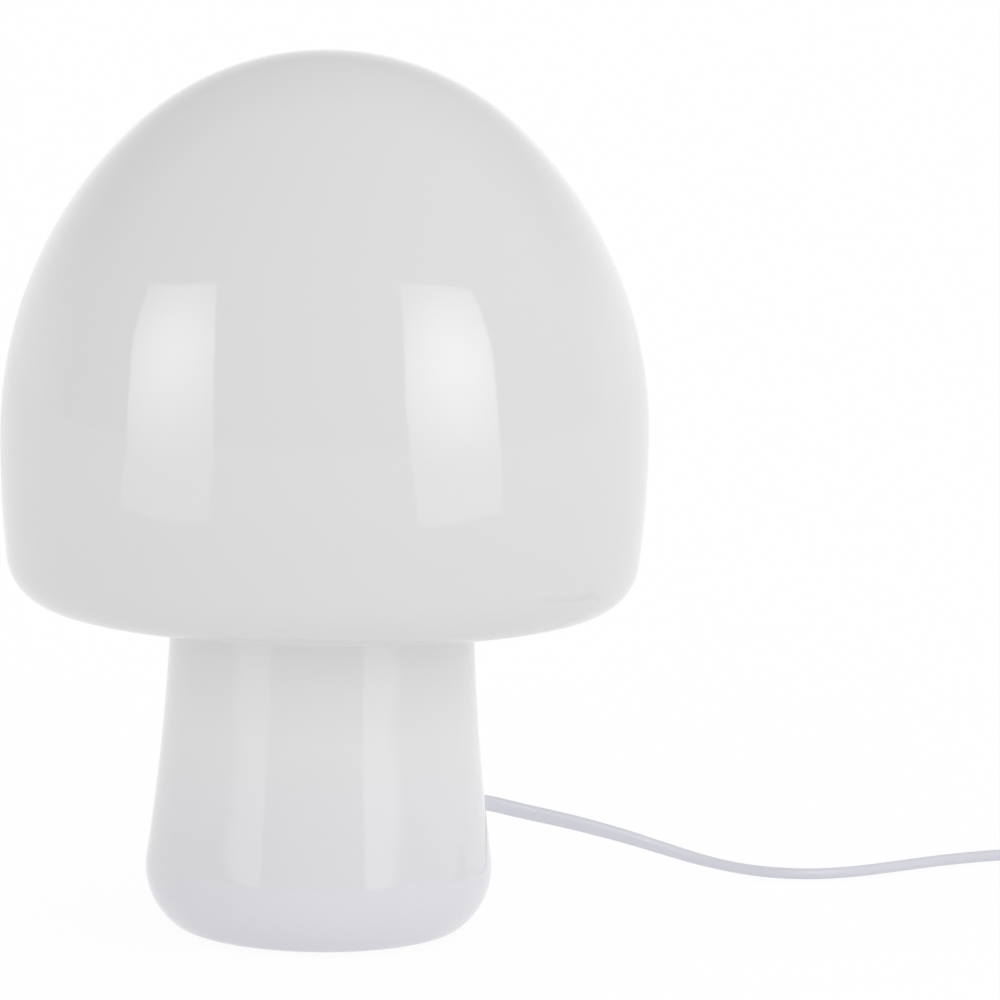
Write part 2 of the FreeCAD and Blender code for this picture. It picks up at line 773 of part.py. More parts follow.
shell_top = cap_top + d.holder_shell_height
shell_mouth = d.holder_radius - d.holder_taper
keep(
    "holder_shell",
    turned(
        "holder_shell",
        [
            (cap_inside, cap_top),
            (d.holder_radius, cap_top),
            (d.holder_radius, cap_top + d.shell_collar),
            (shell_mouth, shell_top),
            (shell_mouth - d.holder_wall, shell_top),
            (cap_inside, cap_top + d.shell_collar),
        ],
    ),
)

core_radius = cap_inside - d.core_clearance
core_low = cap_top - d.core_drop
core_floor = core_low + d.core_thickness
screw_inner = d.bulb_thread + d.bulb_clearance
screw_outer = screw_inner + 2 * d.contact_metal
cup_radius = screw_outer + d.core_wall
cup_top = core_floor + d.screw_depth
core_blank = turned(
    "core_blank",
    [
        (0.0, core_low),
        (core_radius, core_low),
        (core_radius, core_floor),
        (cup_radius, core_floor + d.core_step),
        (cup_radius, cup_top),
        (screw_outer, cup_top),
        (screw_outer, core_floor),
        (0.0, core_floor),
    ],
)
terminal_x = core_radius - d.terminal_inset
holes, terminals = [], []
for side in (-1, 1):
    at = beside_exit(side * terminal_x)
    hole_radius = d.terminal_shank + d.thread_clearance
    hole = rod(f"terminal_hole_{side}", hole_radius, d.terminal_depth + d.core_clearance)
    holes.append(put(hole, *at, core_low))
    terminal = screw(
        f"terminal_{side}", d.terminal_shank, d.terminal_depth, d.terminal_head, d.screw_head_height
    )
    terminals.append(put(terminal, *at, core_low + d.terminal_depth, 0, UPSIDE_DOWN))
keep("holder_core", cut("holder_core", core_blank, *holes))
keep("terminal_screws", group("terminal_screws", *terminals))


def ridges(inner, outer, low, number, step):
    """Corners going up a threaded wall: pointed ridges from radius outer in to inner."""
    run = []
    for i in range(number):
        run.append((outer, low + i * step))
        run.append((inner, low + (i + 0.5) * step))
    return run + [(outer, low + number * step)]


SHELL_RIDGES = 5
shell_root = screw_inner + d.contact_metal
shell_low = core_floor
shell_thread = shell_low + d.thread_start
keep(
    "screw_shell",
    turned(
        "screw_shell",
        [(screw_outer, cup_top), (screw_outer, shell_low), (shell_root, shell_low)]
        + ridges(screw_inner, shell_root, shell_thread, SHELL_RIDGES, d.bulb_pitch),
    ),
)

bulb_low = core_floor + d.contact_rise
contact_knee = d.contact_reach / 2
contact_tip = d.contact_reach - d.contact_metal
keep(
    "centre_contact",
    profile(
        "centre_contact",
        [
            (-d.contact_reach, core_floor),
            (d.contact_reach, core_floor),
            (d.contact_reach, core_floor + d.contact_metal),
            (-contact_knee, core_floor + d.contact_metal),
            (contact_tip, bulb_low - d.contact_metal),
            (contact_tip, bulb_low),
            (-contact_knee, bulb_low),
            (-d.contact_reach, bulb_low - 2 * d.contact_metal),
        ],
        d.contact_width,
    ),
)

grip_inside = cap_inside - d.grip_entry
grip_end = d.holder_radius + d.grip_length
grip_tube = rod("grip_tube", d.grip_radius - d.cord_clearance, grip_end - grip_inside)
toward_exit(grip_tube, grip_inside, port_z)
grip_collar = rod("grip_collar", d.grip_radius + d.grip_rim, d.grip_rim_thickness)
toward_exit(grip_collar, d.holder_radius + d.core_clearance, port_z)
grip_bore = rod("grip_bore", lead_bore_radius, d.cap_radius)
toward_exit(grip_bore, grip_inside - 1, port_z)
grip_screw_x, grip_screw_y = exit_point(grip_end - d.grip_screw_inset)
grip_hole = rod("grip_hole", d.grip_screw_radius + d.thread_clearance, 2 * d.grip_radius)
put(grip_hole, grip_screw_x, grip_screw_y, port_z)
grip_solid = fused("grip_solid", grip_tube, grip_collar)
keep("cord_grip", cut("cord_grip", grip_solid, grip_bore, grip_hole))
grip_screw = rod("grip_screw", d.grip_screw_radius, d.grip_screw_length)
keep("grip_screw", put(grip_screw, grip_screw_x, grip_screw_y, port_z + lead_bore_radius))


# ---------------------------------------------------------------------------------------------
# Lead and wires inside the glass
# ---------------------------------------------------------------------------------------------
def on_exit_line(radius, height):
    """A point of a route on the line of the cord hole, as three numbers."""
    x, y = exit_point(as_size(radius))
    return x.value, y.value, as_size(height).value


LEAD_STRAIGHT = 6.4  # straight out of the grip and into the grommet
sheath_end = grip_inside + 0.6
keep(
    "inner_lead",
    cord_tube(
        "inner_lead",
        [
            on_exit_line(sheath_end, port_z),
            on_exit_line(grip_end + LEAD_STRAIGHT, port_z),
            on_exit_line(grommet_inner - LEAD_STRAIGHT, d.cord_hole_height),
            on_exit_line(sleeve_end, d.cord_hole_height),
        ],
        lead_radius.value,
    ),
)


def wire(name, side):
    """One insulated wire from the end of the sheath to its terminal screw."""
    turn = FreeCAD.Rotation(FreeCAD.Vector(0, 0, 1), -d.cord_turn.value)
    out, low, high = sheath_end.value - 0.3, port_z.value, core_low.value - 0.8
    reach = terminal_x.value
    route = [
        (1.3, out, low),
        (1.7, out - 2.5, low + 0.2),
        (0.65 * reach, 0.55 * out, (low + high) / 2),
        (reach, d.terminal_head.value + 0.7, high),
    ]
    points = [turn.multVec(FreeCAD.Vector(side * x, y, z)) for x, y, z in route]
    return cord_tube(name, points, d.wire_radius.value)


keep("live_wire", wire("live_wire", 1))
keep("neutral_wire", wire("neutral_wire", -1))

# ---------------------------------------------------------------------------------------------
# Bulb
# ---------------------------------------------------------------------------------------------
tip_top = bulb_low + d.tip_height
insulator_top = tip_top + d.insulator_height
BULB_RIDGES = 5
thread_top = insulator_top + BULB_RIDGES * d.bulb_pitch
thread_root = d.bulb_thread - d.bulb_thread_depth
cap_edge = thread_top + d.cap_skirt
collar_top = cap_edge + d.collar_height
bulb_top = bulb_low + d.bulb_length
bulb_middle = bulb_top - d.bulb_radius

keep(
    "bulb_tip_contact",
    turned(
        "bulb_tip_contact",
        [
            (0.0, bulb_low),
            (d.tip_radius - d.tip_height / 2, bulb_low),
            (d.tip_radius, bulb_low + d.tip_height / 2),
            (d.tip_radius, tip_top),
            (0.0, tip_top),
        ],
    ),
)
keep(
    "bulb_insulator",
    turned(
        "bulb_insulator",
        [
            (0.0, tip_top),
            (d.tip_radius + d.cap_metal, tip_top),
            (thread_root - d.cap_metal, insulator_top),
            (0.0, insulator_top),
        ],
    ),
)
cap_web = thread_top - d.cap_skirt / 2
skirt_inside = thread_root - d.cap_metal
keep(
    "bulb_screw_cap",
    turned(
        "bulb_screw_cap",
        [(0.0, cap_web), (0.0, insulator_top)]
        + ridges(d.bulb_thread, thread_root, insulator_top, BULB_RIDGES, d.bulb_pitch)
        + [(thread_root, cap_edge), (skirt_inside, cap_edge), (skirt_inside, cap_web)],
    ),
)
collar_foot = d.bulb_thread + d.cap_metal
neck_hole = thread_root + d.bulb_clearance
keep(
    "bulb_collar",
    turned(
        "bulb_collar",
        [
            (neck_hole, thread_top),
            (collar_foot, thread_top),
            (d.collar_radius, collar_top - d.collar_edge),
            (d.collar_radius, collar_top),
            (neck_hole, collar_top),
        ],
    ),
)
mouth_drop = bulb_middle - collar_top
bulb_neck = root(d.bulb_radius * d.bulb_radius - mouth_drop * mouth_drop)
inner_globe = d.bulb_radius - d.bulb_wall
inner_neck = root(inner_globe * inner_globe - mouth_drop * mouth_drop)
keep(
    "bulb_globe",
    turned(
        "bulb_globe",
        [
            (0.0, bulb_top - d.bulb_wall, inner_globe, False),
            (inner_globe, bulb_middle, inner_globe, False),
            (inner_neck, collar_top),
            (bulb_neck, collar_top, d.bulb_radius, True),
            (d.bulb_radius, bulb_middle, d.bulb_radius, True),
            (0.0, bulb_top),
        ],
    ),
)
stem_top = bulb_middle + d.stem_rise
keep(
    "bulb_stem",
    turned(
        "bulb_stem",
        [
            (0.0, cap_edge),
            (skirt_inside, cap_edge),
            (d.stem_radius, collar_top + d.stem_flare),
            (d.stem_radius - d.cap_metal, stem_top),
            (0.0, stem_top),
        ],
    ),
)
FILAMENTS = 4
filament_foot = collar_top + d.stem_flare + 1
filaments = []
for i in range(FILAMENTS):
    around = math.radians(45 + 360 * i / FILAMENTS)
    filament = rod(f"filament_{i}", d.filament_radius, d.filament_length)
    across, back = d.filament_ring * math.cos(around), d.filament_ring * math.sin(around)
    filaments.append(put(filament, across, back, filament_foot))
frame_inner = d.stem_radius + d.bulb_clearance
frame_outer = d.filament_ring + d.filament_radius + d.frame_thickness
frame_ring = turned(
    "filament_frame",
    [
        (frame_inner, filament_foot - d.frame_thickness),
        (frame_outer, filament_foot - d.frame_thickness),
        (frame_outer, filament_foot),
        (frame_inner, filament_foot),
    ],
)
keep("bulb_filaments", fused("bulb_filaments", frame_ring, *filaments))

# ---------------------------------------------------------------------------------------------
# In-line switch, built along X about the origin and then turned so that the cord runs forward
# ---------------------------------------------------------------------------------------------
SWITCH_TURN = -90.0
inside_length = d.switch_length - 2 * d.switch_wall
inside_width = d.switch_width - 2 * d.switch_skin
inside_corner = d.switch_corner - d.switch_wall
switch_top = d.switch_split + d.switch_upper
roof = switch_top - d.switch_skin
axle_z = d.switch_split + 6.5
window_length = d.rocker_length + 4 * d.rocker_play
window_width = d.rocker_width + 2 * d.rocker_play
boss_x = inside_length / 2 - 3.4
boss_y = inside_width / 2 - 2.9
boss_radius = 3.0
screw_top = d.switch_split + 5


def in_switch(name, thing):
    return keep(name, put(group(name, thing), d.switch_x, d.switch_y, 0, SWITCH_TURN))


outline = rounded(d.switch_length, d.switch_width, d.switch_corner)
hollow = rounded(inside_length, inside_width, inside_corner)
cord_way = rod("cord_way", lead_bore_radius, d.switch_length + 2)
put(cord_way, -(d.switch_length / 2 + 1), 0, d.switch_cord_height, 0, TIP_FORWARD)
base_walls = cut(
    "switch_base_walls",
    plate("switch_base_outer", outline, as_size(0.0), d.switch_split),
    plate("switch_base_hollow", hollow, d.switch_skin, d.switch_split + 1),
    cord_way,
)
post = block("switch_post", 5, 5, d.switch_split - d.switch_skin - 3, 0, 0, d.switch_skin)
bosses, pockets, pilots, cover_bosses, cover_screws = [post], [], [], [], []
for side in (-1, 1):
    at = (side * boss_x, boss_y)
    boss = rod(f"base_boss_{side}", boss_radius, d.switch_split - d.switch_skin)
    bosses.append(put(boss, *at, d.switch_skin))
    pockets.append(put(rod(f"head_pocket_{side}", 2.4, 2.2), *at, -0.2))
    pilots.append(put(rod(f"pilot_{side}", d.cover_screw + 0.1, screw_top), *at, 0))
    cover_boss = rod(f"cover_boss_{side}", boss_radius, roof - d.switch_split)
    cover_bosses.append(put(cover_boss, *at, d.switch_split))
    cover_screw = screw(f"cover_screw_{side}", d.cover_screw, screw_top - 2.2, 2.2, 1.6)
    upside_down = FreeCAD.Rotation(FreeCAD.Vector(1, 0, 0), 180)
    cover_screws.append(put(cover_screw, *at, screw_top - 0.2, 0, upside_down))
base_solid = fused("switch_base_body", base_walls, *bosses)
in_switch("switch_base", cut("switch_base_drilled", base_solid, *pockets, *pilots))

window = block("window", window_length, window_width, 6, 0, 0, roof - 1)
axle_length = inside_width + 1.6
axle_bore = rod("axle_bore", d.axle_radius + d.axle_play, axle_length + 0.2)
put(axle_bore, 0, -(axle_length / 2 + 0.1), axle_z, 0, TIP_BACK)
cover_walls = cut(
    "switch_cover_walls",
    plate("switch_cover_outer", outline, d.switch_split, switch_top),
    plate("switch_cover_hollow", hollow, d.switch_split - 1, roof),
)
in_switch(
    "switch_cover",
    cut(
        "switch_cover_drilled",
        fused("switch_cover_body", cover_walls, *cover_bosses),
        window,
        axle_bore,
        *pilots,
    ),
)
in_switch("switch_screws", group("switch_screw_pair", *cover_screws))
axle = rod("axle_blank", d.axle_radius, axle_length)
in_switch("rocker_axle", put(axle, 0, -axle_length / 2, axle_z, 0, TIP_BACK))

rocker_half = d.rocker_length / 2
rocker_blank = profile(
    "rocker_blank",
    [
        (-rocker_half, 4.6),
        (-rocker_half, 1.4),
        (-3.5, -3.0),
        (3.5, -3.0),
        (rocker_half, 1.4),
        (rocker_half, 4.6),
        (0.0, 3.4),
    ],
    d.rocker_width,
)
rocker_bore = rod("rocker_bore", d.axle_radius + d.axle_play, d.rocker_width + 2)
put(rocker_bore, 0, -(d.rocker_width / 2 + 1), 0, 0, TIP_BACK)
rocker = cut("rocker_level", rocker_blank, rocker_bore)
tilt = FreeCAD.Rotation(FreeCAD.Vector(0, 1, 0), d.rocker_tilt.value)
put(rocker, 0, 0, axle_z, 0, tilt)
in_switch("switch_rocker", rocker)

terminal_reach = inside_length / 2 - 9
blocks, leads = [], []
for side in (-1, 1):
    terminal = block(f"switch_terminal_{side}", 7, 6, 5, side * terminal_reach, 0, d.switch_skin)
    entry = rod(f"terminal_entry_{side}", d.wire_radius + 0.1, 12)
    put(entry, side * terminal_reach - 6, 0, d.switch_cord_height - 1, 0, TIP_FORWARD)
    blocks.append(cut(f"switch_terminal_bored_{side}", terminal, entry))
    lead = rod(f"switch_lead_{side}", d.wire_radius, 7.5)
    lead_low = side * (inside_length / 2 - 3.75) - 3.75
    leads.append(put(lead, lead_low, 0, d.switch_cord_height - 1, 0, TIP_FORWARD))
through = rod("switch_through_wire", d.wire_radius, inside_length - 2 * inside_corner)
through_low = inside_corner - inside_length / 2
through_y = d.wire_radius + 0.2 - inside_width / 2
leads.append(put(through, through_low, through_y, d.switch_cord_height - 1, 0, TIP_FORWARD))
in_switch("switch_terminals", group("switch_terminal_pair", *blocks))
in_switch("switch_wires", group("switch_wire_set", *leads))
bridge_z = d.switch_split - 3
in_switch(
    "contact_bridge",
    profile(
        "contact_bridge_strip",
        [
            (-9.5, bridge_z + 1.2),
            (-3.0, bridge_z),
            (3.0, bridge_z),
            (9.5, bridge_z + 1.2),
            (9.5, bridge_z + 1.8),
            (3.0, bridge_z + 0.6),
            (-3.0, bridge_z + 0.6),
            (-9.5, bridge_z + 1.8),
        ],
        4.0,
    ),
)

# ---------------------------------------------------------------------------------------------
# Free cord: lamp to switch, switch to coil, coil, coil to plug
# ---------------------------------------------------------------------------------------------
cord_radius = d.cord_diameter.value / 2
cord_x = d.switch_x.value
cord_z = d.switch_cord_height.value
switch_back = (d.switch_y + inside_length / 2).value
switch_front = (d.switch_y - inside_length / 2).value

keep(
    "cord_to_switch",
    cord_tube(
        "cord_to_switch",
        [
            on_exit_line(sleeve_end, d.cord_hole_height),
            on_exit_line(sleeve_end + 12, d.cord_hole_height),
            (54.6, 85.4, 25.2),
            (67.0, 89.8, 21.4),
            (83.0, 90.6, 18.0),
            (101.0, 91.6, 13.3),
            (117.0, 92.6, 8.2),
            (130.0, 91.2, 4.6),
            (143.0, 86.6, 2.8),
            (155.0, 81.8, 2.6),
            (168.0, 81.4, 2.6),
            (181.0, 86.6, 2.6),
            (195.0, 96.0, 2.6),
            (213.0, 108.5, 2.6),
            (234.0, 119.0, 2.6),
            (247.9, 120.9, 2.6),
            (261.5, 117.5, 2.6),
            (272.8, 109.3, 2.6),
            (279.7, 98.3, 3.6),
            (cord_x, 86.6, cord_z),
            (cord_x, switch_back, cord_z),
        ],
        cord_radius,
    ),
)

coil_span = d.coil_turns * d.coil_pitch / 2
coil_outer = (d.coil_middle + coil_span).value
coil_x = cord_x + coil_outer
coil_y = d.coil_y.value
coil_low = d.coil_lift.value + cord_radius
coil_high = coil_low + d.coil_pitch.value
coil_way = d.coil_turns.value * 2 * math.pi
straight_end = d.cord_diameter.value


def coil_line(angle):
    """The coil's centre line: in along the lower layer, up in half a turn, out along the upper."""
    rate = d.coil_pitch.value / (2 * math.pi)
    climbing = min(max(angle - coil_way, 0.0), math.pi)
    spiral = min(angle, coil_way) - max(angle - coil_way - math.pi, 0.0)
    radius = coil_outer - rate * spiral - d.coil_dip.value * math.sin(climbing)
    height = coil_low + (coil_high - coil_low) * (1 - math.cos(climbing)) / 2
    around = math.pi + angle
    return FreeCAD.Vector(
        coil_x + radius * math.cos(around), coil_y + radius * math.sin(around), height
    )


def coil_edges():
    """Two tangent arcs for each quarter turn, and a straight end of one diameter each way."""
    quarters = round((2 * coil_way + math.pi) / (math.pi / 2))
    ahead = FreeCAD.Vector(0, -1, 0)
    ways, small = [], 1e-4
    places = [coil_line(i * math.pi / 2) for i in range(quarters + 1)]
    for i in range(quarters + 1):
        way = coil_line(i * math.pi / 2 + small) - coil_line(i * math.pi / 2 - small)
        way.normalize()
        ways.append(way)
    ways[0], ways[-1] = ahead, FreeCAD.Vector(0, 1, 0)
    edges = [Part.LineSegment(places[0] - ways[0] * straight_end, places[0]).toShape()]
    for start, end, out, back in zip(places, places[1:], ways, ways[1:]):
        chord = end - start
        both = out + back
        spread = 2 * (1 - out.dot(back))
        reach = (
            math.sqrt(chord.dot(both) ** 2 + spread * chord.dot(chord)) - chord.dot(both)
        ) / spread
        middle = (start + end + (out - back) * reach) * 0.5
        first = arc_between(start, out, middle)
        edges.append(first)
        edges.append(arc_between(middle, first.tangentAt(first.LastParameter), end))
    edges.append(Part.LineSegment(places[-1], places[-1] + ways[-1] * straight_end).toShape())
    return edges


def least_gap(edges, diameter):
    """Nearest that the tube comes to itself, on points of its centre line."""
    points, travelled, reached = [], [], 0.0
    for edge in edges:
        for point in edge.discretize(Number=12)[1:]:
            if points:
                reached += (point - points[-1]).Length
            points.append(point)
            travelled.append(reached)
    least = math.inf
    for i, here in enumerate(points):
        for j in range(i + 1, len(points)):
            if travelled[j] - travelled[i] > 4 * diameter:
                least = min(least, (points[j] - here).Length)
    return least - diameter


coil_run = coil_edges()
print(f"cord_coil: least gap {least_gap(coil_run, d.cord_diameter.value):.2f}")
keep("cord_coil", swept("cord_coil", coil_run, cord_radius))

coil_start_y = coil_y + straight_end
keep(
    "cord_to_coil",
    cord_tube(
        "cord_to_coil",
        [
            (cord_x, switch_front, cord_z),
            (cord_x, 6.0, cord_z),
            (cord_x, -5.0, 4.9),
            (cord_x, -16.0, coil_low),
            (cord_x, coil_start_y, coil_low),
        ],
        cord_radius,
    ),
)
plug_middle = (d.plug_thickness / 2).value
tail_x = coil_x + coil_outer
keep(
    "cord_to_plug",
    cord_tube(
        "cord_to_plug",
        [
            (tail_x, coil_start_y, coil_high),
            (tail_x, -12.0, coil_high),
            (358.3, 4.0, 7.6),
            (351.3, 19.0, 6.9),
            (d.plug_x.value, 35.0, plug_middle),
            (d.plug_x.value, d.plug_y.value, plug_middle),
        ],
        cord_radius,
    ),
)

# tie: a flat band round the bundle, on its far side from the plug
tie_inner = d.coil_middle - coil_span - d.coil_dip - d.cord_diameter / 2 - d.tie_play
tie_outer = d.coil_middle + coil_span + d.cord_diameter / 2 + d.tie_play
tie_roof = d.coil_lift + d.cord_diameter + d.coil_pitch + d.tie_play
tie_solid = block(
    "tie_solid",
    d.tie_width,
    tie_outer - tie_inner + 2 * d.coil_lift,
    tie_roof + d.coil_lift,
    coil_x,
    coil_y - (tie_inner + tie_outer) / 2,
    0,
)
tie_hollow = block(
    "tie_hollow",
    d.tie_width + 2,
    tie_outer - tie_inner,
    tie_roof - d.coil_lift,
    coil_x,
    coil_y - (tie_inner + tie_outer) / 2,
    d.coil_lift,
)
keep("cord_tie", cut("cord_tie", tie_solid, tie_hollow))

# ---------------------------------------------------------------------------------------------
# Mains plug, lying flat with its pins to the back
# ---------------------------------------------------------------------------------------------
PLUG_SHOULDER = 0.55  # share of the plug's length at which it is full width
plug_half = d.plug_width / 2
plug_flat = plug_half - d.plug_corner
mains_plug_blank = plate(
    "mains_plug_blank",
    [
        (-plug_half, PLUG_SHOULDER * d.plug_length),
        (-d.plug_neck / 2, 0.0),
        (d.plug_neck / 2, 0.0),
        (plug_half, PLUG_SHOULDER * d.plug_length),
        (plug_half, d.plug_length - d.plug_corner, d.plug_corner, True),
        (plug_flat, d.plug_length),
        (-plug_flat, d.plug_length, d.plug_corner, True),
        (-plug_half, d.plug_length - d.plug_corner),
    ],
    as_size(0.0),
    d.plug_thickness,
)
sockets, pins = [], []
for side in (-1, 1):
    at = (side * d.pin_spacing / 2, d.plug_length - d.pin_root, d.plug_thickness / 2)
    socket = rod(f"pin_socket_{side}", d.pin_root_radius, 2 * d.pin_root)
    sockets.append(put(socket, *at, 0, TIP_BACK))
    pin_root = rod(f"pin_root_{side}", d.pin_root_radius, d.pin_root)
    prong = put(rod(f"prong_{side}", d.pin_radius, d.pin_length), 0, 0, d.pin_root)
    pins.append(put(fused(f"pin_{side}", pin_root, prong), *at, 0, TIP_BACK))
keep("plug_body", put(group("plug_body", cut("plug_bored", mains_plug_blank, *sockets)), d.plug_x, d.plug_y))
keep("plug_pins", put(group("plug_pins", *pins), d.plug_x, d.plug_y))

# ---------------------------------------------------------------------------------------------
# Check and write
# ---------------------------------------------------------------------------------------------
doc.recompute()
for thing in doc.Objects:
    if "Invalid" in thing.State or "Error" in thing.State:
        raise RuntimeError(f"{thing.Label} didn't build")
for name, thing in pieces.items():
    if thing.Shape.isNull() or not thing.Shape.isValid():
        raise RuntimeError(f"{name} has no sound shape")

os.makedirs("parts", exist_ok=True)
for name, thing in pieces.items():
    thing.Shape.exportStep(f"parts/{name}.step")
print(len(pieces), "pieces written")
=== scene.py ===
"""Dressed scene of the mushroom table lamp: opal glass body, flat cord, in-line switch, coil and plug.

Metres, +Z up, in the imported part's own frame.
"""

import json
import math

import bmesh
import bpy
from mathutils import Matrix, Quaternion, Vector


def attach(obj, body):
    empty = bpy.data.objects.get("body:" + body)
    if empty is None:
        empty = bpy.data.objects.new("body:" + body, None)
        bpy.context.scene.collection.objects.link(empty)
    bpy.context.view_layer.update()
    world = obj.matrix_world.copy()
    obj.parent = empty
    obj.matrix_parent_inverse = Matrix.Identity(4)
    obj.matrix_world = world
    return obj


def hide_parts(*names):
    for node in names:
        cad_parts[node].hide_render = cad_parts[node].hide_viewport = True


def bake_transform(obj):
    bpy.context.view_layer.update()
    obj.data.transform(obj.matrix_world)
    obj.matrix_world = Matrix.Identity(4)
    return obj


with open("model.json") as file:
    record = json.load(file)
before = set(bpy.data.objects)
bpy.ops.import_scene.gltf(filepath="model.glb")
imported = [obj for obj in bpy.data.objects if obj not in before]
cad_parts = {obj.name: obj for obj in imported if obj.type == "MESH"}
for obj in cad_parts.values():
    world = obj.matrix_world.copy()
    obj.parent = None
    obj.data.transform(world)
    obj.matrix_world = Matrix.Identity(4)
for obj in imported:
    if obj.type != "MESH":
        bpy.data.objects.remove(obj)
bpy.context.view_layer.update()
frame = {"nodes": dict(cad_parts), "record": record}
nodes = frame["nodes"]
scene = bpy.context.scene

MM = 0.001


# ---------------------------------------------------------------------------------------------
# Small helpers
# ---------------------------------------------------------------------------------------------
def paint(hex_colour):
    """An sRGB hex colour as linear RGBA."""
    parts = [int(hex_colour[i : i + 2], 16) / 255 for i in (1, 3, 5)]
    return (*[c / 12.92 if c <= 0.04045 else ((c + 0.055) / 1.055) ** 2.4 for c in parts], 1.0)


def add(tree, kind, settings=None, links=None, **inputs):
    """Adds a node: its own settings, values for its inputs, and links into its inputs."""
    node = tree.nodes.new(kind)
    for name, value in (settings or {}).items():
        setattr(node, name, value)
    for name, value in inputs.items():
        node.inputs[name.replace("_", " ")].default_value = value
    for socket, source in (links or {}).items():
        tree.links.new(source, node.inputs[socket])
    return node


def from_nodes(mesh, tree, **inputs):
    """The mesh that a Geometry Nodes tree makes of mesh, which is used up. Inputs by their names."""
    carrier = bpy.data.objects.new("carrier", mesh)
    scene.collection.objects.link(carrier)
    modifier = carrier.modifiers.new("Nodes", "NODES")
    modifier.node_group = tree
    for socket in tree.interface.items_tree:
        if socket.in_out == "INPUT" and socket.name in inputs:
            modifier[socket.identifier] = inputs[socket.name]
    made = bpy.data.meshes.new_from_object(carrier.evaluated_get(bpy.context.evaluated_depsgraph_get()))
    bpy.data.objects.remove(carrier)
    bpy.data.meshes.remove(mesh)
    outward(made)
    return made


def show(name, mesh, material, body):
    """A finished mesh as a piece that rides on a body."""
    piece = bpy.data.objects.new(name, mesh)
    scene.collection.objects.link(piece)
    mesh.materials.clear()
    mesh.materials.append(material)
    if body:
        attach(piece, body)
    return piece


def smooth(mesh, angle=35.0):
    mesh.shade_smooth()
    mesh.set_sharp_from_angle(angle=math.radians(angle))


def outward(mesh):
    """Merges doubles and points the faces of a closed mesh outwards."""
    work = bmesh.new()
    work.from_mesh(mesh)
    bmesh.ops.remove_doubles(work, verts=work.verts, dist=1e-7)
    bmesh.ops.recalc_face_normals(work, faces=work.faces)
    work.to_mesh(mesh)
    work.free()


# ---------------------------------------------------------------------------------------------
# Materials
# ---------------------------------------------------------------------------------------------
def principled(name, colour, roughness, **shader_inputs):
    """A new material with one Principled shader; returns it with its tree and shader."""
    material = bpy.data.materials.new(name)
    material.use_nodes = True
    shader = material.node_tree.nodes["Principled BSDF"]
    shader.inputs["Base Color"].default_value = paint(colour)
    shader.inputs["Roughness"].default_value = roughness
    for key, value in shader_inputs.items():
        shader.inputs[key.replace("_", " ")].default_value = value
    return material, material.node_tree, shader


def object_place(tree):
    return add(tree, "ShaderNodeTexCoord").outputs["Object"]


def opal_glass():
    """Blown opal glass, flashed white and fire-polished: a deep even white under a clear wet gloss,
    with the slow ripple that blowing leaves. The colour changes with height: a faint cool tint
    towards the foot, the stem painted whiter as painted light, and the rim band a little greyer."""
    material, tree, shader = principled("opal_glass", "#E6E6E6", 0.06, IOR=1.5)
    place = object_place(tree)
    height = add(tree, "ShaderNodeSeparateXYZ", links={"Vector": place})
    up = add(tree, "ShaderNodeMapRange", links={"Value": height.outputs["Z"]},
             From_Min=0.0, From_Max=0.28)
    tint_and_painted_light = add(tree, "ShaderNodeValToRGB", links={"Fac": up.outputs["Result"]})
    ramp = tint_and_painted_light.color_ramp
    ramp.elements[0].position, ramp.elements[0].color = 0.0, paint("#E6E5EC")
    ramp.elements[1].position, ramp.elements[1].color = 0.55, paint("#E8E8E9")
    # painted light: the band from 0.13 to 0.36 of the height (the stem) is painted whiter; the foot is
    # cooler and the rim band a little greyer
    for height_share, colour in ((0.13, "#E9E9EC"), (0.24, "#EEEEEF"), (0.36, "#EDEDED"), (0.38, "#E6E6E6")):
        ramp.elements.new(height_share).color = paint(colour)
    tree.links.new(tint_and_painted_light.outputs["Color"], shader.inputs["Base Color"])
    ripple = add(tree, "ShaderNodeTexNoise", links={"Vector": place}, Scale=26.0, Detail=1.0)
    bump = add(tree, "ShaderNodeBump", links={"Height": ripple.outputs["Fac"]},
               Strength=0.35, Distance=0.0006)
    tree.links.new(bump.outputs["Normal"], shader.inputs["Normal"])
    return material


def cord_pvc():
    """Extruded soft PVC, faintly cool white: satin, with fine drag lines along the cord."""
    material, tree, shader = principled("cord_pvc", "#E2E2EC", 0.42, IOR=1.53)
    along = add(tree, "ShaderNodeAttribute", {"attribute_name": "along"})
    stretch = add(tree, "ShaderNodeVectorMath", {"operation": "MULTIPLY"},
                  {0: along.outputs["Vector"]})
    stretch.inputs[1].default_value = (12.0, 900.0, 1.0)
    drag = add(tree, "ShaderNodeTexNoise", links={"Vector": stretch.outputs["Vector"]},
               Scale=1.0, Detail=2.0)
    bump = add(tree, "ShaderNodeBump", links={"Height": drag.outputs["Fac"]},
               Strength=0.25, Distance=0.0001)
    tree.links.new(bump.outputs["Normal"], shader.inputs["Normal"])
    return material


def moulded(name, colour, roughness, grain_mm, depth_mm, **shader_inputs):
    """Injection-moulded plastic or pressed metal with the fine grain of its tool."""
    material, tree, shader = principled(name, colour, roughness, **shader_inputs)
    place = object_place(tree)
    grain = add(tree, "ShaderNodeTexNoise", links={"Vector": place},
                Scale=1000.0 / grain_mm, Detail=3.0)
    bump = add(tree, "ShaderNodeBump", links={"Height": grain.outputs["Fac"]},
               Strength=0.5, Distance=depth_mm * MM)
    tree.links.new(bump.outputs["Normal"], shader.inputs["Normal"])
    wear = add(tree, "ShaderNodeMapRange", links={"Value": grain.outputs["Fac"]},
               To_Min=roughness * 0.85, To_Max=min(1.0, roughness * 1.2))
    tree.links.new(wear.outputs["Result"], shader.inputs["Roughness"])
    return material


GLASS = opal_glass()
CORD = cord_pvc()
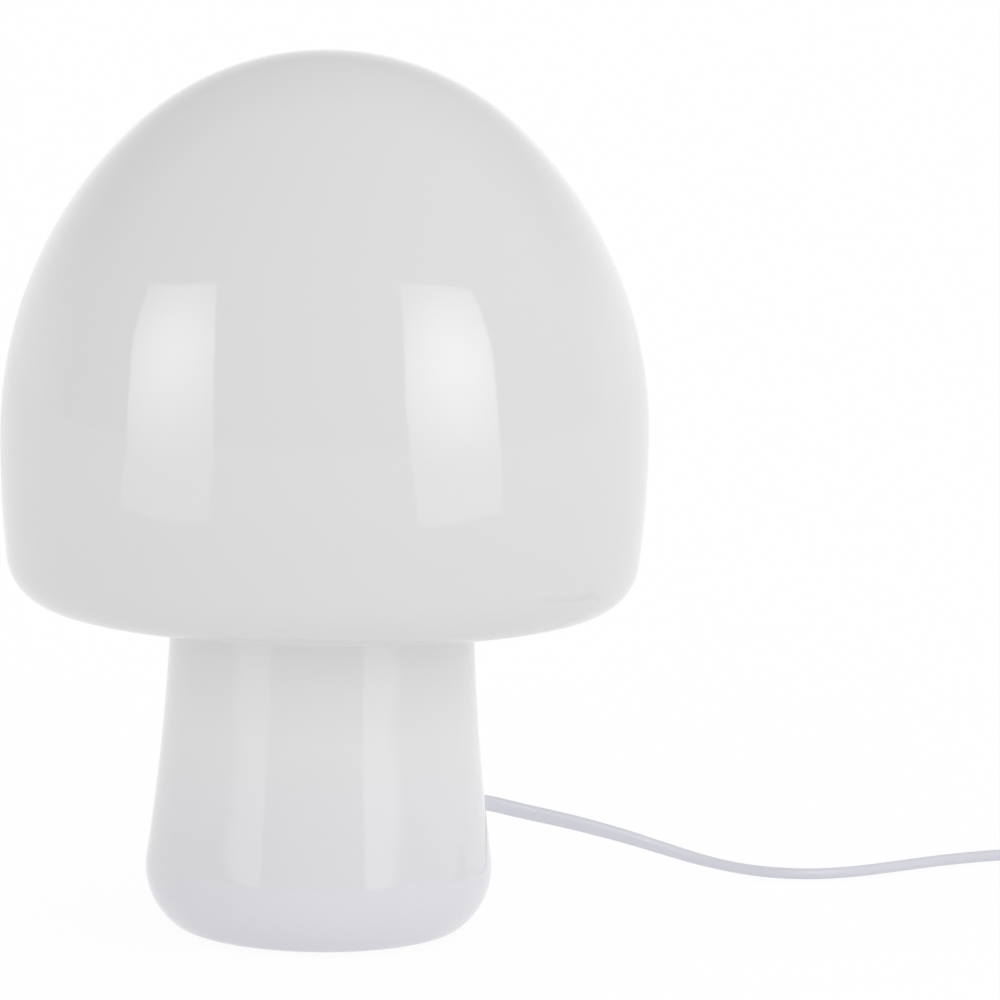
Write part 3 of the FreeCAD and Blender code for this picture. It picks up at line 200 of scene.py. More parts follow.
# spark-eroded ABS: even satin white
ABS_WHITE = moulded("abs_white", "#E4E4E4", 0.38, 0.4, 0.02, IOR=1.53)
FINISHES = {
    "opal_glass": GLASS,
    "cord_pvc": CORD,
    "white_plastic": ABS_WHITE,
    # glossy polycarbonate rocker
    "rocker_plastic": moulded("polycarbonate_white", "#EAEAEA", 0.16, 1.2, 0.004, IOR=1.58),
    # thermoplastic rubber: matt and slightly grey
    "grommet_rubber": moulded("tpr_white", "#DDDDDE", 0.62, 0.3, 0.015, IOR=1.5),
    # closed-cell polyethylene foam
    "foot_foam": moulded("pe_foam", "#E0E0E0", 0.9, 0.8, 0.12),
    # heat-proof glass-filled polyester
    "holder_plastic": moulded("pbt_white", "#E2E2DF", 0.45, 0.5, 0.02, IOR=1.6),
    "core_plastic": moulded("steatite_cream", "#D6D3C8", 0.55, 0.5, 0.02, IOR=1.55),
    # bright zinc plate
    "zinc_steel": moulded("zinc_plate", "#C4C7CC", 0.3, 0.25, 0.004, Metallic=1.0),
    "spring_steel": moulded("spring_steel", "#A9ABAF", 0.28, 0.2, 0.004, Metallic=1.0),
    "brass": moulded("pressed_brass", "#D2A85A", 0.26, 0.2, 0.004, Metallic=1.0),
    "nickel_brass": moulded("nickel_plate", "#CFCBC2", 0.18, 0.2, 0.003, Metallic=1.0),
    "bulb_cap_metal": moulded("nickel_sheet", "#CBCAC6", 0.24, 0.3, 0.004, Metallic=1.0),
    "bulb_solder": moulded("solder", "#B4B4B4", 0.35, 0.5, 0.02, Metallic=1.0),
    "bulb_black_glass": moulded("black_glass", "#141418", 0.12, 1.0, 0.004, IOR=1.5),
    "bulb_collar_plastic": moulded("bulb_polycarbonate", "#E6E6E3", 0.3, 0.5, 0.01, IOR=1.58),
    # clear soda-lime glass, blown thin
    "bulb_glass": moulded("soda_lime_clear", "#FFFFFF", 0.02, 9.0, 0.02, IOR=1.5,
                          Transmission_Weight=1.0),
    "bulb_glass_stem": moulded("soda_lime_stem", "#F4FAF8", 0.06, 4.0, 0.02, IOR=1.5,
                               Transmission_Weight=1.0),
    # silicone loaded with yellow phosphor
    "phosphor": moulded("phosphor_silicone", "#F0C64A", 0.5, 0.15, 0.02, IOR=1.42),
    "live_insulation": moulded("brown_pvc", "#6B3F22", 0.45, 0.3, 0.01, IOR=1.53),
    "neutral_insulation": moulded("blue_pvc", "#2E62AE", 0.45, 0.3, 0.01, IOR=1.53),
    "tie_plastic": moulded("tie_pvc", "#D4D4D4", 0.5, 0.4, 0.02, IOR=1.53),
}

slot_of = {s["node"]: s["material_slot"] for s in frame["record"]["subparts"]}
for name, cad_node in nodes.items():
    cad_node.data.materials.clear()
    cad_node.data.materials.append(FINISHES[slot_of[name]])


# ---------------------------------------------------------------------------------------------
# Camera: 1.7 m away, a little above, aimed right of the lamp, with the lamp leaning as photographed
# ---------------------------------------------------------------------------------------------
EYE = Vector((0.0, -1.68546, 0.36189))
AIM = Vector((0.05559, -0.00118, 0.13863))
ROLL_DEG = 1.1
camera_data = bpy.data.cameras.new("camera")
camera_data.sensor_width = 36.0
camera_data.lens = 193.35
camera_data.clip_start, camera_data.clip_end = 0.05, 60.0
camera = bpy.data.objects.new("camera", camera_data)
scene.collection.objects.link(camera)
camera.location = EYE
camera.rotation_mode = "QUATERNION"
level = (AIM - EYE).to_track_quat("-Z", "Y")
camera.rotation_quaternion = level @ Quaternion((0, 0, 1), math.radians(ROLL_DEG))
scene.camera = camera


# ---------------------------------------------------------------------------------------------
# Cords: routes as in the part's source, in metres
# ---------------------------------------------------------------------------------------------
CORD_WIDTH = 0.0052
CORD_THICKNESS = 0.0032
CORD_ROUND = 0.016  # the way round the cord

INNER_LEAD = [
    (0.00555, 0.00961, 0.0206),
    (0.01370, 0.02373, 0.0206),
    (0.02000, 0.03464, 0.0265),
    (0.03840, 0.06651, 0.0265),
]
TO_SWITCH = [
    (0.0384, 0.0665, 0.0265),
    (0.0444, 0.0769, 0.0265),
    (0.0546, 0.0854, 0.0252),
    (0.0670, 0.0898, 0.0214),
    (0.0830, 0.0906, 0.0180),
    (0.1010, 0.0916, 0.0133),
    (0.1170, 0.0926, 0.0082),
    (0.1300, 0.0912, 0.0046),
    (0.1430, 0.0866, 0.0028),
    (0.1550, 0.0818, 0.0026),
    (0.1680, 0.0814, 0.0026),
    (0.1810, 0.0866, 0.0026),
    (0.1950, 0.0960, 0.0026),
    (0.2130, 0.1085, 0.0026),
    (0.2340, 0.1190, 0.0026),
    (0.2479, 0.1209, 0.0026),
    (0.2615, 0.1175, 0.0026),
    (0.2728, 0.1093, 0.0026),
    (0.2797, 0.0983, 0.0036),
    (0.2826, 0.0866, 0.0060),
    (0.2826, 0.0730, 0.0060),
]
TO_COIL = [
    (0.2826, 0.0170, 0.0060),
    (0.2826, 0.0060, 0.0060),
    (0.2826, -0.0050, 0.0049),
    (0.2826, -0.0160, 0.0032),
    (0.2826, -0.0278, 0.0032),
]
TO_PLUG = [
    (0.3621, -0.0278, 0.0089),
    (0.3621, -0.0120, 0.0089),
    (0.3583, 0.0040, 0.0076),
    (0.3513, 0.0190, 0.0069),
    (0.3460, 0.0350, 0.00685),
    (0.3460, 0.0520, 0.00685),
]
COIL_CENTRE = Vector((0.32235, -0.0330))
COIL_OUTER = 0.03975
COIL_PITCH = 0.0057
COIL_TURNS = 3
COIL_DIP = 0.0014
COIL_LOW = 0.0032
COIL_POINTS = 16  # control points in a turn


def coil_points():
    """The coil's control points: in along the lower layer, up in half a turn, out along the upper."""
    way = 2 * math.pi * COIL_TURNS
    stretch = 1 / math.cos(math.pi / COIL_POINTS)  # the spline runs inside its control points
    found = []
    for i in range(1, round((2 * way + math.pi) / (2 * math.pi) * COIL_POINTS)):
        angle = 2 * math.pi * i / COIL_POINTS
        climbing = min(max(angle - way, 0.0), math.pi)
        spiral = min(angle, way) - max(angle - way - math.pi, 0.0)
        radius = COIL_OUTER - COIL_PITCH * spiral / (2 * math.pi) - COIL_DIP * math.sin(climbing)
        height = COIL_LOW + COIL_PITCH * (1 - math.cos(climbing)) / 2
        around = math.pi + angle
        found.append(
            (
                COIL_CENTRE.x + stretch * radius * math.cos(around),
                COIL_CENTRE.y + stretch * radius * math.sin(around),
                height,
            )
        )
    return found


def spline_points(route, steps):
    """Points read from the NURBS spline whose control points are the route."""
    curve = bpy.data.curves.new("route", "CURVE")
    curve.dimensions = "3D"
    curve.resolution_u = steps
    spline = curve.splines.new("NURBS")
    spline.points.add(len(route) - 1)
    for point, place in zip(spline.points, route):
        point.co = (*place, 1.0)
    spline.order_u = 3
    spline.use_endpoint_u = True
    line = bpy.data.objects.new("route", curve)
    scene.collection.objects.link(line)
    evaluated = line.evaluated_get(bpy.context.evaluated_depsgraph_get())
    mesh = bpy.data.meshes.new_from_object(evaluated)
    found = [v.co.copy() for v in mesh.vertices]
    bpy.data.objects.remove(line)
    bpy.data.curves.remove(curve)
    bpy.data.meshes.remove(mesh)
    return found


def flat_section(corner_steps=7):
    """The flat cord's outline, width along x: two round edges joined by flats."""
    half = CORD_THICKNESS / 2
    flat = CORD_WIDTH / 2 - half
    outline = []
    for side in (1, -1):
        for i in range(corner_steps + 1):
            angle = -math.pi / 2 + math.pi * i / corner_steps
            outline.append((side * (flat + half * math.cos(angle)), side * half * math.sin(angle)))
    return outline


def flat_cord(name, line, twist):
    """A mesh of the flat cord along line. twist(share of length) is the tilt of its broad side
    from level, in degrees."""
    section = flat_section()
    count = len(section)
    travelled = [0.0]
    for before, after in zip(line, line[1:]):
        travelled.append(travelled[-1] + (after - before).length)
    whole = travelled[-1]
    work = bmesh.new()
    along = work.verts.layers.float_vector.new("along")
    rings = []
    for i, centre in enumerate(line):
        way = (line[min(i + 1, len(line) - 1)] - line[max(i - 1, 0)]).normalized()
        level_side = way.cross(Vector((0, 0, 1))).normalized()
        rise = level_side.cross(way)
        tilt = math.radians(twist(travelled[i] / whole))
        broad = level_side * math.cos(tilt) + rise * math.sin(tilt)
        thin = way.cross(broad)
        ring = []
        for j, (x, y) in enumerate(section):
            vert = work.verts.new(centre + broad * x + thin * y)
            vert[along] = (travelled[i], j / count * CORD_ROUND, 0.0)
            ring.append(vert)
        rings.append(ring)
    for one, two in zip(rings, rings[1:]):
        for j in range(count):
            work.faces.new((one[j], one[(j + 1) % count], two[(j + 1) % count], two[j]))
    work.faces.new(rings[0][::-1])
    work.faces.new(rings[-1])
    bmesh.ops.recalc_face_normals(work, faces=work.faces)
    mesh = bpy.data.meshes.new(name)
    work.to_mesh(mesh)
    work.free()
    smooth(mesh, 50.0)
    return mesh, whole


def eased(share, start, end):
    """0 before start, 1 after end, and smooth between."""
    t = min(max((share - start) / (end - start), 0.0), 1.0)
    return t * t * (3 - 2 * t)


def first_tilt(share):
    """Nearly on edge out of the glass, half over on its way down, and flat into the switch."""
    settling = 54.0 * eased(share, 0.12, 0.4) - 4.0 * eased(share, 0.45, 0.6)
    return 80.0 - settling - 30.0 * eased(share, 0.75, 0.95)


switch_line = spline_points(TO_SWITCH, 8)
mesh, length = flat_cord("cord_lamp_to_switch", switch_line, first_tilt)
first_cord = show("cord_lamp_to_switch", mesh, CORD, None)
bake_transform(first_cord)
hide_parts("cord_to_switch")
print("cord to switch", round(length, 4))

lead_line = spline_points(INNER_LEAD, 12)
mesh, length = flat_cord("lead_inside", lead_line, lambda s: 90.0 * eased(s, 0.0, 0.6))
inner_lead = show("lead_inside", mesh, CORD, None)
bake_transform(inner_lead)
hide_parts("inner_lead")
print("lead inside", round(length, 4))

coil_line = spline_points(TO_COIL + coil_points() + TO_PLUG, 6)
mesh, length = flat_cord(
    "cord_switch_to_plug",
    coil_line,
    lambda s: 90.0 * (eased(s, 0.004, 0.03) - eased(s, 0.945, 0.985)),
)
second_cord = show("cord_switch_to_plug", mesh, CORD, "lamp_base")
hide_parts("cord_to_coil", "cord_coil", "cord_to_plug")
print("cord to plug", round(length, 4))


# ---------------------------------------------------------------------------------------------
# Glass body: turned from its outline with Geometry Nodes
# ---------------------------------------------------------------------------------------------
def lathe_tree():
    """Turns a chain of points (radius, 0, height) round Z."""
    tree = bpy.data.node_groups.new("Lathe", "GeometryNodeTree")
    face = tree.interface
    face.new_socket("Geometry", in_out="INPUT", socket_type="NodeSocketGeometry")
    face.new_socket("Steps", in_out="INPUT", socket_type="NodeSocketInt")
    face.new_socket("Finish", in_out="INPUT", socket_type="NodeSocketMaterial")
    face.new_socket("Geometry", in_out="OUTPUT", socket_type="NodeSocketGeometry")
    outline = add(tree, "NodeGroupInput")
    count = add(tree, "GeometryNodeAttributeDomainSize", links={"Geometry": outline.outputs["Geometry"]})
    columns = add(tree, "ShaderNodeMath", {"operation": "ADD"}, {0: outline.outputs["Steps"]})
    columns.inputs[1].default_value = 1.0
    grid = add(
        tree,
        "GeometryNodeMeshGrid",
        links={"Vertices X": count.outputs["Point Count"], "Vertices Y": columns.outputs[0]},
    )
    index = add(tree, "GeometryNodeInputIndex")
    share = add(
        tree, "ShaderNodeMath", {"operation": "DIVIDE"}, {0: index.outputs[0], 1: columns.outputs[0]}
    )
    row = add(tree, "ShaderNodeMath", {"operation": "FLOOR"}, {0: share.outputs[0]})
    column = add(
        tree, "ShaderNodeMath", {"operation": "MODULO"}, {0: index.outputs[0], 1: columns.outputs[0]}
    )
    place = add(tree, "GeometryNodeInputPosition")
    sample = add(
        tree,
        "GeometryNodeSampleIndex",
        {"data_type": "FLOAT_VECTOR", "domain": "POINT"},
        {
            "Geometry": outline.outputs["Geometry"],
            "Value": place.outputs[0],
            "Index": row.outputs[0],
        },
    )
    turn = add(
        tree, "ShaderNodeMath", {"operation": "DIVIDE"}, {0: column.outputs[0], 1: outline.outputs["Steps"]}
    )
    angle = add(tree, "ShaderNodeMath", {"operation": "MULTIPLY"}, {0: turn.outputs[0]})
    angle.inputs[1].default_value = 2 * math.pi
    turned = add(
        tree,
        "ShaderNodeVectorRotate",
        {"rotation_type": "Z_AXIS"},
        {"Vector": sample.outputs["Value"], "Angle": angle.outputs[0]},
    )
    moved = add(
        tree,
        "GeometryNodeSetPosition",
        links={"Geometry": grid.outputs["Mesh"], "Position": turned.outputs["Vector"]},
    )
    merged = add(
        tree,
        "GeometryNodeMergeByDistance",
        links={"Geometry": moved.outputs["Geometry"]},
        Distance=1e-6,
    )
    real = add(tree, "GeometryNodeRealizeInstances", links={"Geometry": merged.outputs["Geometry"]})
    coated = add(
        tree,
        "GeometryNodeSetMaterial",
        links={"Geometry": real.outputs["Geometry"], "Material": outline.outputs["Finish"]},
    )
    add(tree, "NodeGroupOutput", links={"Geometry": coated.outputs["Geometry"]})
    return tree


LATHE = lathe_tree()


def lathe(name, outline, steps, material):
    """The closed mesh that an outline of (radius, height) points sweeps round Z."""
    mesh = bpy.data.meshes.new(name + "_outline")
    mesh.from_pydata([(r, 0.0, z) for r, z in outline], [(i, i + 1) for i in range(len(outline) - 1)], [])
    made = from_nodes(mesh, LATHE, Steps=steps, Finish=material)
    made.name = name
    return made


LAMP_HEIGHT = 0.280
CAP_RADIUS = 0.1024
CAP_BELT = 0.1589
CROWN = 0.088
BELT = 0.341
RIM = 0.0168
RIM_HEIGHT = 0.1042
NECK = 0.0481
NECK_HEIGHT = 0.103
NECK_FILLET = 0.006
STEM_CURVE = 0.700
FOOT = 0.0552
FOOT_BELT = 0.0204
FOOT_ROUND = 0.0227
FOOT_CORNER = 0.010
FOOT_GAP = 0.0008
WALL = 0.004
MOUTH = 0.030
LIP_LOW = 0.004
LIP_HIGH = 0.008
LIP_BEVEL = 0.005
GLASS_STEPS = 192
FINE_STEP = 0.0008  # chord in the tight curves
UNDER_STEP = 0.002  # chord under the rim
FOOT_STEP = 0.0012  # chord inside the foot


def toward(start, end, reach):
    """The point reach from start on the line to end."""
    across, up = end[0] - start[0], end[1] - start[1]
    straight = math.hypot(across, up)
    return (start[0] + across * reach / straight, start[1] + up * reach / straight)


def arc(centre, radius, start, end, most=0.0024):
    """Points of the short arc from start to end, without its last one."""
    first = math.atan2(start[1] - centre[1], start[0] - centre[0])
    last = math.atan2(end[1] - centre[1], end[0] - centre[0])
    sweep = (last - first + math.pi) % (2 * math.pi) - math.pi
    count = max(3, math.ceil(abs(sweep) * radius / most))
    return [
        (
            centre[0] + radius * math.cos(first + sweep * i / count),
            centre[1] + radius * math.sin(first + sweep * i / count),
        )
        for i in range(count)
    ]


def glass_outline():
    """The glass's whole section, from the top outside round to the top inside."""
    crown = (0.0, LAMP_HEIGHT - CROWN)
    drop = crown[1] - CAP_BELT
    shoulder_radius = (CAP_RADIUS**2 - CROWN**2 + drop**2) / (2 * (CAP_RADIUS - CROWN))
    shoulder = (CAP_RADIUS - shoulder_radius, CAP_BELT)
    belt = (CAP_RADIUS - BELT, CAP_BELT)
    rim_z = RIM_HEIGHT + RIM
    rim = (belt[0] + math.sqrt((BELT - RIM) ** 2 - (CAP_BELT - rim_z) ** 2), rim_z)
    bulge = (FOOT - FOOT_ROUND, FOOT_BELT)
    corner_z = FOOT_GAP + FOOT_CORNER
    corner = (
        bulge[0] + math.sqrt((FOOT_ROUND - FOOT_CORNER) ** 2 - (FOOT_BELT - corner_z) ** 2),
        corner_z,
    )
    neck = (NECK, NECK_HEIGHT)
    across, up = neck[0] - bulge[0], neck[1] - bulge[1]
    straight = math.hypot(across, up)
    touching = STEM_CURVE + FOOT_ROUND
    ahead = (touching**2 - STEM_CURVE**2 + straight**2) / (2 * straight)
    aside = math.sqrt(touching**2 - ahead**2)
    stem = (
        bulge[0] + (across * ahead + up * aside) / straight,
        bulge[1] + (up * ahead - across * aside) / straight,
    )
    fillet = toward(neck, stem, NECK_FILLET)
    across, up = rim[0] - fillet[0], rim[1] - fillet[1]
    straight = math.hypot(across, up)
    both = (NECK_FILLET + RIM) / straight
    lean = math.sqrt(1 - both * both)
    under = ((both * across - lean * up) / straight, (both * up + lean * across) / straight)

    def face(wall):
        """Points of the face that lies wall inside the outer one, from the top to the foot."""
        tops = (0.0, crown[1] + CROWN - wall)
        joins = toward(crown, shoulder, -(CROWN - wall))
        widest = (CAP_RADIUS - wall, CAP_BELT)
        turns = toward(belt, rim, BELT - wall)
        below = (rim[0] - under[0] * (RIM - wall), rim[1] - under[1] * (RIM - wall))
        inward = (
            fillet[0] + under[0] * (NECK_FILLET + wall),
            fillet[1] + under[1] * (NECK_FILLET + wall),
        )
        neck_at = toward(stem, neck, STEM_CURVE + wall)
        foot_at = toward(bulge, stem, FOOT_ROUND - wall)
        run = arc(crown, CROWN - wall, tops, joins)
        run += arc(shoulder, shoulder_radius - wall, joins, widest)
        run += arc(belt, BELT - wall, widest, turns)
        run += arc(rim, RIM - wall, turns, below, FINE_STEP)
        under_count = int(math.dist(below, inward) / UNDER_STEP)
        run += [toward(below, inward, i * UNDER_STEP) for i in range(under_count)]
        run += arc(fillet, NECK_FILLET + wall, inward, neck_at, FINE_STEP)
        run += arc(stem, STEM_CURVE + wall, neck_at, foot_at)
        return run, foot_at

    outer, foot_at = face(0.0)
    corner_at = toward(bulge, corner, FOOT_ROUND)
    outer += arc(bulge, FOOT_ROUND, foot_at, corner_at, FINE_STEP)
    outer += arc(corner, FOOT_CORNER, corner_at, (corner[0], FOOT_GAP), FINE_STEP)
    outer += [
        (corner[0], FOOT_GAP),
        (MOUTH + LIP_BEVEL + LIP_LOW - FOOT_GAP, FOOT_GAP),
        (MOUTH + LIP_BEVEL, LIP_LOW),
        (MOUTH, LIP_LOW),
        (MOUTH, LIP_HIGH),
    ]
    inner, inner_foot = face(WALL)
    low = bulge[0] + math.sqrt((FOOT_ROUND - WALL) ** 2 - (FOOT_BELT - LIP_HIGH) ** 2)
    rise = arc(bulge, FOOT_ROUND - WALL, (low, LIP_HIGH), inner_foot, FOOT_STEP)
    return outer + rise + [inner_foot] + inner[::-1]


def pierced(mesh, at, way, radius, reach):
    """mesh with a round hole bored through it."""
    work = bmesh.new()
    bmesh.ops.create_cone(
        work, cap_ends=True, segments=64, radius1=radius, radius2=radius, depth=reach,
        matrix=Matrix.Translation(at) @ UP.rotation_difference(way).to_matrix().to_4x4(),
    )
    cutter_mesh = bpy.data.meshes.new("cutter")
    work.to_mesh(cutter_mesh)
    work.free()
    cutter = bpy.data.objects.new("cutter", cutter_mesh)
    blank = bpy.data.objects.new("blank", mesh)
    scene.collection.objects.link(cutter)
    scene.collection.objects.link(blank)
    boolean = blank.modifiers.new("Hole", "BOOLEAN")
    boolean.operation, boolean.solver, boolean.object = "DIFFERENCE", "EXACT", cutter
    made = bpy.data.meshes.new_from_object(blank.evaluated_get(bpy.context.evaluated_depsgraph_get()))
    made.name = mesh.name
    for thing in (blank, cutter):
        bpy.data.objects.remove(thing)
    bpy.data.meshes.remove(cutter_mesh)
    bpy.data.meshes.remove(mesh)
    return made


UP = Vector((0, 0, 1))
EXIT_WAY = Vector((0.5, math.sqrt(0.75), 0.0))
EXIT_HEIGHT = 0.0265
HOLE_RADIUS = 0.005
HOLE_MIDDLE = 0.055  # from the lamp's axis to the middle of the wall
HOLE_REACH = 0.03

glass_mesh = lathe("glass", glass_outline(), GLASS_STEPS, GLASS)
hole_at = EXIT_WAY * HOLE_MIDDLE + UP * EXIT_HEIGHT
glass_mesh = pierced(glass_mesh, hole_at, EXIT_WAY, HOLE_RADIUS, HOLE_REACH)
smooth(glass_mesh, 40.0)
glass = show("glass", glass_mesh, GLASS, "glass")
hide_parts("glass_body")


# ---------------------------------------------------------------------------------------------
# Grommet: a flange each side of the glass and a ribbed sleeve that tapers on to the cord
# ---------------------------------------------------------------------------------------------
RIBS = 7
RIB_PITCH = 0.00270
SLEEVE_START = 0.0570
SLEEVE_END = 0.0768


def grommet_outline():
    """Radius and distance from the lamp's axis, from the inner end to the tip."""
    def width(at):
        return 0.0054 - 0.0018 * (at - SLEEVE_START) / (SLEEVE_END - SLEEVE_START)

    run = [(0.0, 0.0464), (0.0052, 0.0464), (0.0056, 0.0468), (0.0060, 0.0490), (0.0060, 0.0500),
           (0.00495, 0.0504), (0.00495, 0.0538), (0.0072, 0.0538), (0.0075, 0.0541), (0.0075, 0.0558),
           (0.0073, 0.0564), (0.0068, 0.0567), (0.0058, 0.0568)]
    for i in range(RIBS):
        start = SLEEVE_START + i * RIB_PITCH
        run += [(width(start), start), (width(start) - 0.0001, start + 0.0014),
                (width(start) - 0.0006, start + 0.0017), (width(start) - 0.0006, start + 0.0024)]
    return run + [(0.0035, SLEEVE_END - 0.0004), (0.0033, SLEEVE_END), (0.0, SLEEVE_END)]


grommet_mesh = lathe("grommet", grommet_outline(), 64, FINISHES["grommet_rubber"])
turned_out = UP.rotation_difference(EXIT_WAY).to_matrix().to_4x4()
grommet_mesh.transform(Matrix.Translation(UP * EXIT_HEIGHT) @ turned_out)
smooth(grommet_mesh, 30.0)
grommet = show("grommet", grommet_mesh, FINISHES["grommet_rubber"], "glass")
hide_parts("cord_grommet")


# ---------------------------------------------------------------------------------------------
# Switch, plug and tie: the part's own shapes with their edges rounded as moulded
# ---------------------------------------------------------------------------------------------
def rounded_copy(name, node, roundings, body="lamp_base"):
    """A piece that replaces a CAD node: its shape with some edges rounded. Each rounding is a
    test of an edge's middle, a radius and a number of segments."""
    work = bmesh.new()
    work.from_mesh(nodes[node].data)
    bmesh.ops.remove_doubles(work, verts=work.verts, dist=1e-6)
    bmesh.ops.dissolve_limit(
        work, angle_limit=math.radians(0.5), verts=work.verts, edges=work.edges
    )
    for chosen, radius, segments in roundings:
        sharp = [
            edge
            for edge in work.edges
            if len(edge.link_faces) == 2
            and edge.calc_face_angle() > math.radians(50)
            and chosen((edge.verts[0].co + edge.verts[1].co) / 2)
        ]
        bmesh.ops.bevel(
            work, geom=sharp, offset=radius, segments=segments, profile=0.5,
            affect="EDGES", clamp_overlap=True,
        )
    bmesh.ops.triangulate(work, faces=[f for f in work.faces if len(f.verts) > 4])
    bmesh.ops.recalc_face_normals(work, faces=work.faces)
    mesh = bpy.data.meshes.new(name)
    work.to_mesh(mesh)
    work.free()
    smooth(mesh, 30.0)
    piece = show(name, mesh, FINISHES[slot_of[node]], body)
    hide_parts(node)
    return piece


SWITCH = Vector((0.2826, 0.0450, 0.0))
SWITCH_TOP = 0.0185
SWITCH_SPLIT = 0.009
AXLE_HEIGHT = 0.0155
CORNER_ACROSS = 0.005  # the centres of the housing's rounded corners
CORNER_ALONG = 0.024
CORNER_RADIUS = 0.007
ON_FACE = 1e-5
PARTING_EDGE = (0.00025, 2)  # radius and segments of the edge where the halves meet
ROCKER_TOP = 0.0165
PLUG_MIDDLE = 0.00685
PLUG_HALF = 0.0067
PLUG_FRONT = 0.085


def on_switch_side(place):
    """Whether a place is on the outside of the switch's walls."""
    across, along = abs(place.x - SWITCH.x), abs(place.y - SWITCH.y)
    corner = math.hypot(max(across - CORNER_ACROSS, 0.0), max(along - CORNER_ALONG, 0.0))
    return abs(corner - CORNER_RADIUS) < 0.0002


def on_plug_edge(place):
    """Whether a place is on the plug's flat faces or behind its front."""
    return abs(place.z - PLUG_MIDDLE) > PLUG_HALF or place.y < PLUG_FRONT


switch_cover = rounded_copy(
    "switch_upper",
    "switch_cover",
    [
        (lambda at: at.z > SWITCH_TOP - ON_FACE and on_switch_side(at), 0.0022, 5),
        (lambda at: at.z < SWITCH_SPLIT + ON_FACE and on_switch_side(at), *PARTING_EDGE),
    ],
)
switch_base = rounded_copy(
    "switch_lower",
    "switch_base",
    [
        (lambda at: at.z < ON_FACE and on_switch_side(at), 0.0012, 4),
        (lambda at: at.z > SWITCH_SPLIT - ON_FACE and on_switch_side(at), *PARTING_EDGE),
    ],
)
rocker = rounded_copy("rocker", "switch_rocker", [(lambda at: at.z > ROCKER_TOP, 0.0006, 3)], "rocker")
plug = rounded_copy("plug", "plug_body", [(on_plug_edge, 0.0022, 5)])
tie = rounded_copy("tie", "cord_tie", [(lambda at: True, 0.0002, 2)])


ROCKER_TILT_DEG = 12  # how far the rocker leans at rest
FACE_RISE, FACE_RUN = 0.0012, 0.010  # slope of each half of its top
MARK_OUT = 0.0062
MARK_HEIGHT = 0.0034 + MARK_OUT * 0.12
BAR = (0.0005, 0.0032, 0.0003, 1)
RING_INNER, RING_OUTER, RING_HALF, RING_SIDES = 0.0011, 0.0016, 0.00015, 40


def rocker_marks():
    """The moulded bar and ring of a mains rocker, just proud of its two hollow faces."""
    work = bmesh.new()
    bmesh.ops.create_cube(work, size=1.0, matrix=rocker_place(-1) @ Matrix.Diagonal(BAR))
    around = [2 * math.pi * i / RING_SIDES for i in range(RING_SIDES)]
    at = rocker_place(1)
    rings = []
    for radius, height in (
        (RING_INNER, -RING_HALF), (RING_OUTER, -RING_HALF), (RING_OUTER, RING_HALF), (RING_INNER, RING_HALF)
    ):
        rings.append([work.verts.new(at @ Vector((radius * math.cos(a), radius * math.sin(a), height)))
                      for a in around])
    for one, two in zip(rings, rings[1:] + rings[:1]):
        for i in range(RING_SIDES):
            j = (i + 1) % RING_SIDES
            work.faces.new((one[i], one[j], two[j], two[i]))
    bmesh.ops.recalc_face_normals(work, faces=work.faces)
    mesh = bpy.data.meshes.new("rocker_marks")
    work.to_mesh(mesh)
    work.free()
    return mesh


def rocker_place(side):
    """Where a mark lies on the rocker: half-way out, on the slope of that side."""
    tilted = Matrix.Translation(SWITCH + UP * AXLE_HEIGHT) @ Matrix.Rotation(math.radians(-90), 4, "Z")
    tilted = tilted @ Matrix.Rotation(math.radians(ROCKER_TILT_DEG), 4, "Y")
    slope = math.atan2(FACE_RISE, FACE_RUN)
    on_face = Matrix.Translation((side * MARK_OUT, 0.0, MARK_HEIGHT))
    return tilted @ on_face @ Matrix.Rotation(-side * slope, 4, "Y")


# pad-printed grey
MARKS = moulded("mark_grey", "#8E9094", 0.4, 0.4, 0.01)
show("rocker_marks", rocker_marks(), MARKS, "rocker")


RELIEF_PITCH = 0.0026
RELIEF_SIDES = 32
GROOVE_DEPTH = 0.0005
RIB_SHARES = (0.02, 0.55, 0.64, 0.94)  # rib starts, rib ends, groove starts, groove ends
SWITCH_BACK, SWITCH_FRONT, PLUG_BACK = 0.0740, 0.0160, 0.0530  # where each relief starts, along Y


def relief(name, line, reach=0.021, wide=0.0043, narrow=0.0030):
    """A ribbed strain relief that follows the start of a line out of its housing, and tapers."""
    pitch, sides = RELIEF_PITCH, RELIEF_SIDES
    stations = [0.0]
    for i in range(round(reach / pitch)):
        stations += [pitch * (i + share) for share in RIB_SHARES]
    work = bmesh.new()
    rings, done, i = [], 0.0, 0
    for number, at in enumerate(stations):
        while done + (line[i + 1] - line[i]).length < at:
            done += (line[i + 1] - line[i]).length
            i += 1
        step = line[i + 1] - line[i]
        centre = line[i] + step * ((at - done) / step.length)
        level_side = step.cross(UP).normalized()
        rise = level_side.cross(step).normalized()
        in_groove = number > 0 and number % 4 in (3, 0)
        radius = wide + (narrow - wide) * at / reach - (GROOVE_DEPTH if in_groove else 0.0)
        rings.append([work.verts.new(centre + radius * (level_side * math.cos(a) + rise * math.sin(a)))
                      for a in [2 * math.pi * k / sides for k in range(sides)]])
    for one, two in zip(rings, rings[1:]):
        for k in range(sides):
            work.faces.new((one[k], one[(k + 1) % sides], two[(k + 1) % sides], two[k]))
    work.faces.new(rings[0][::-1])
    work.faces.new(rings[-1])
    bmesh.ops.recalc_face_normals(work, faces=work.faces)
    mesh = bpy.data.meshes.new(name)
    work.to_mesh(mesh)
    work.free()
    smooth(mesh, 30.0)
    return show(name, mesh, ABS_WHITE, "lamp_base")


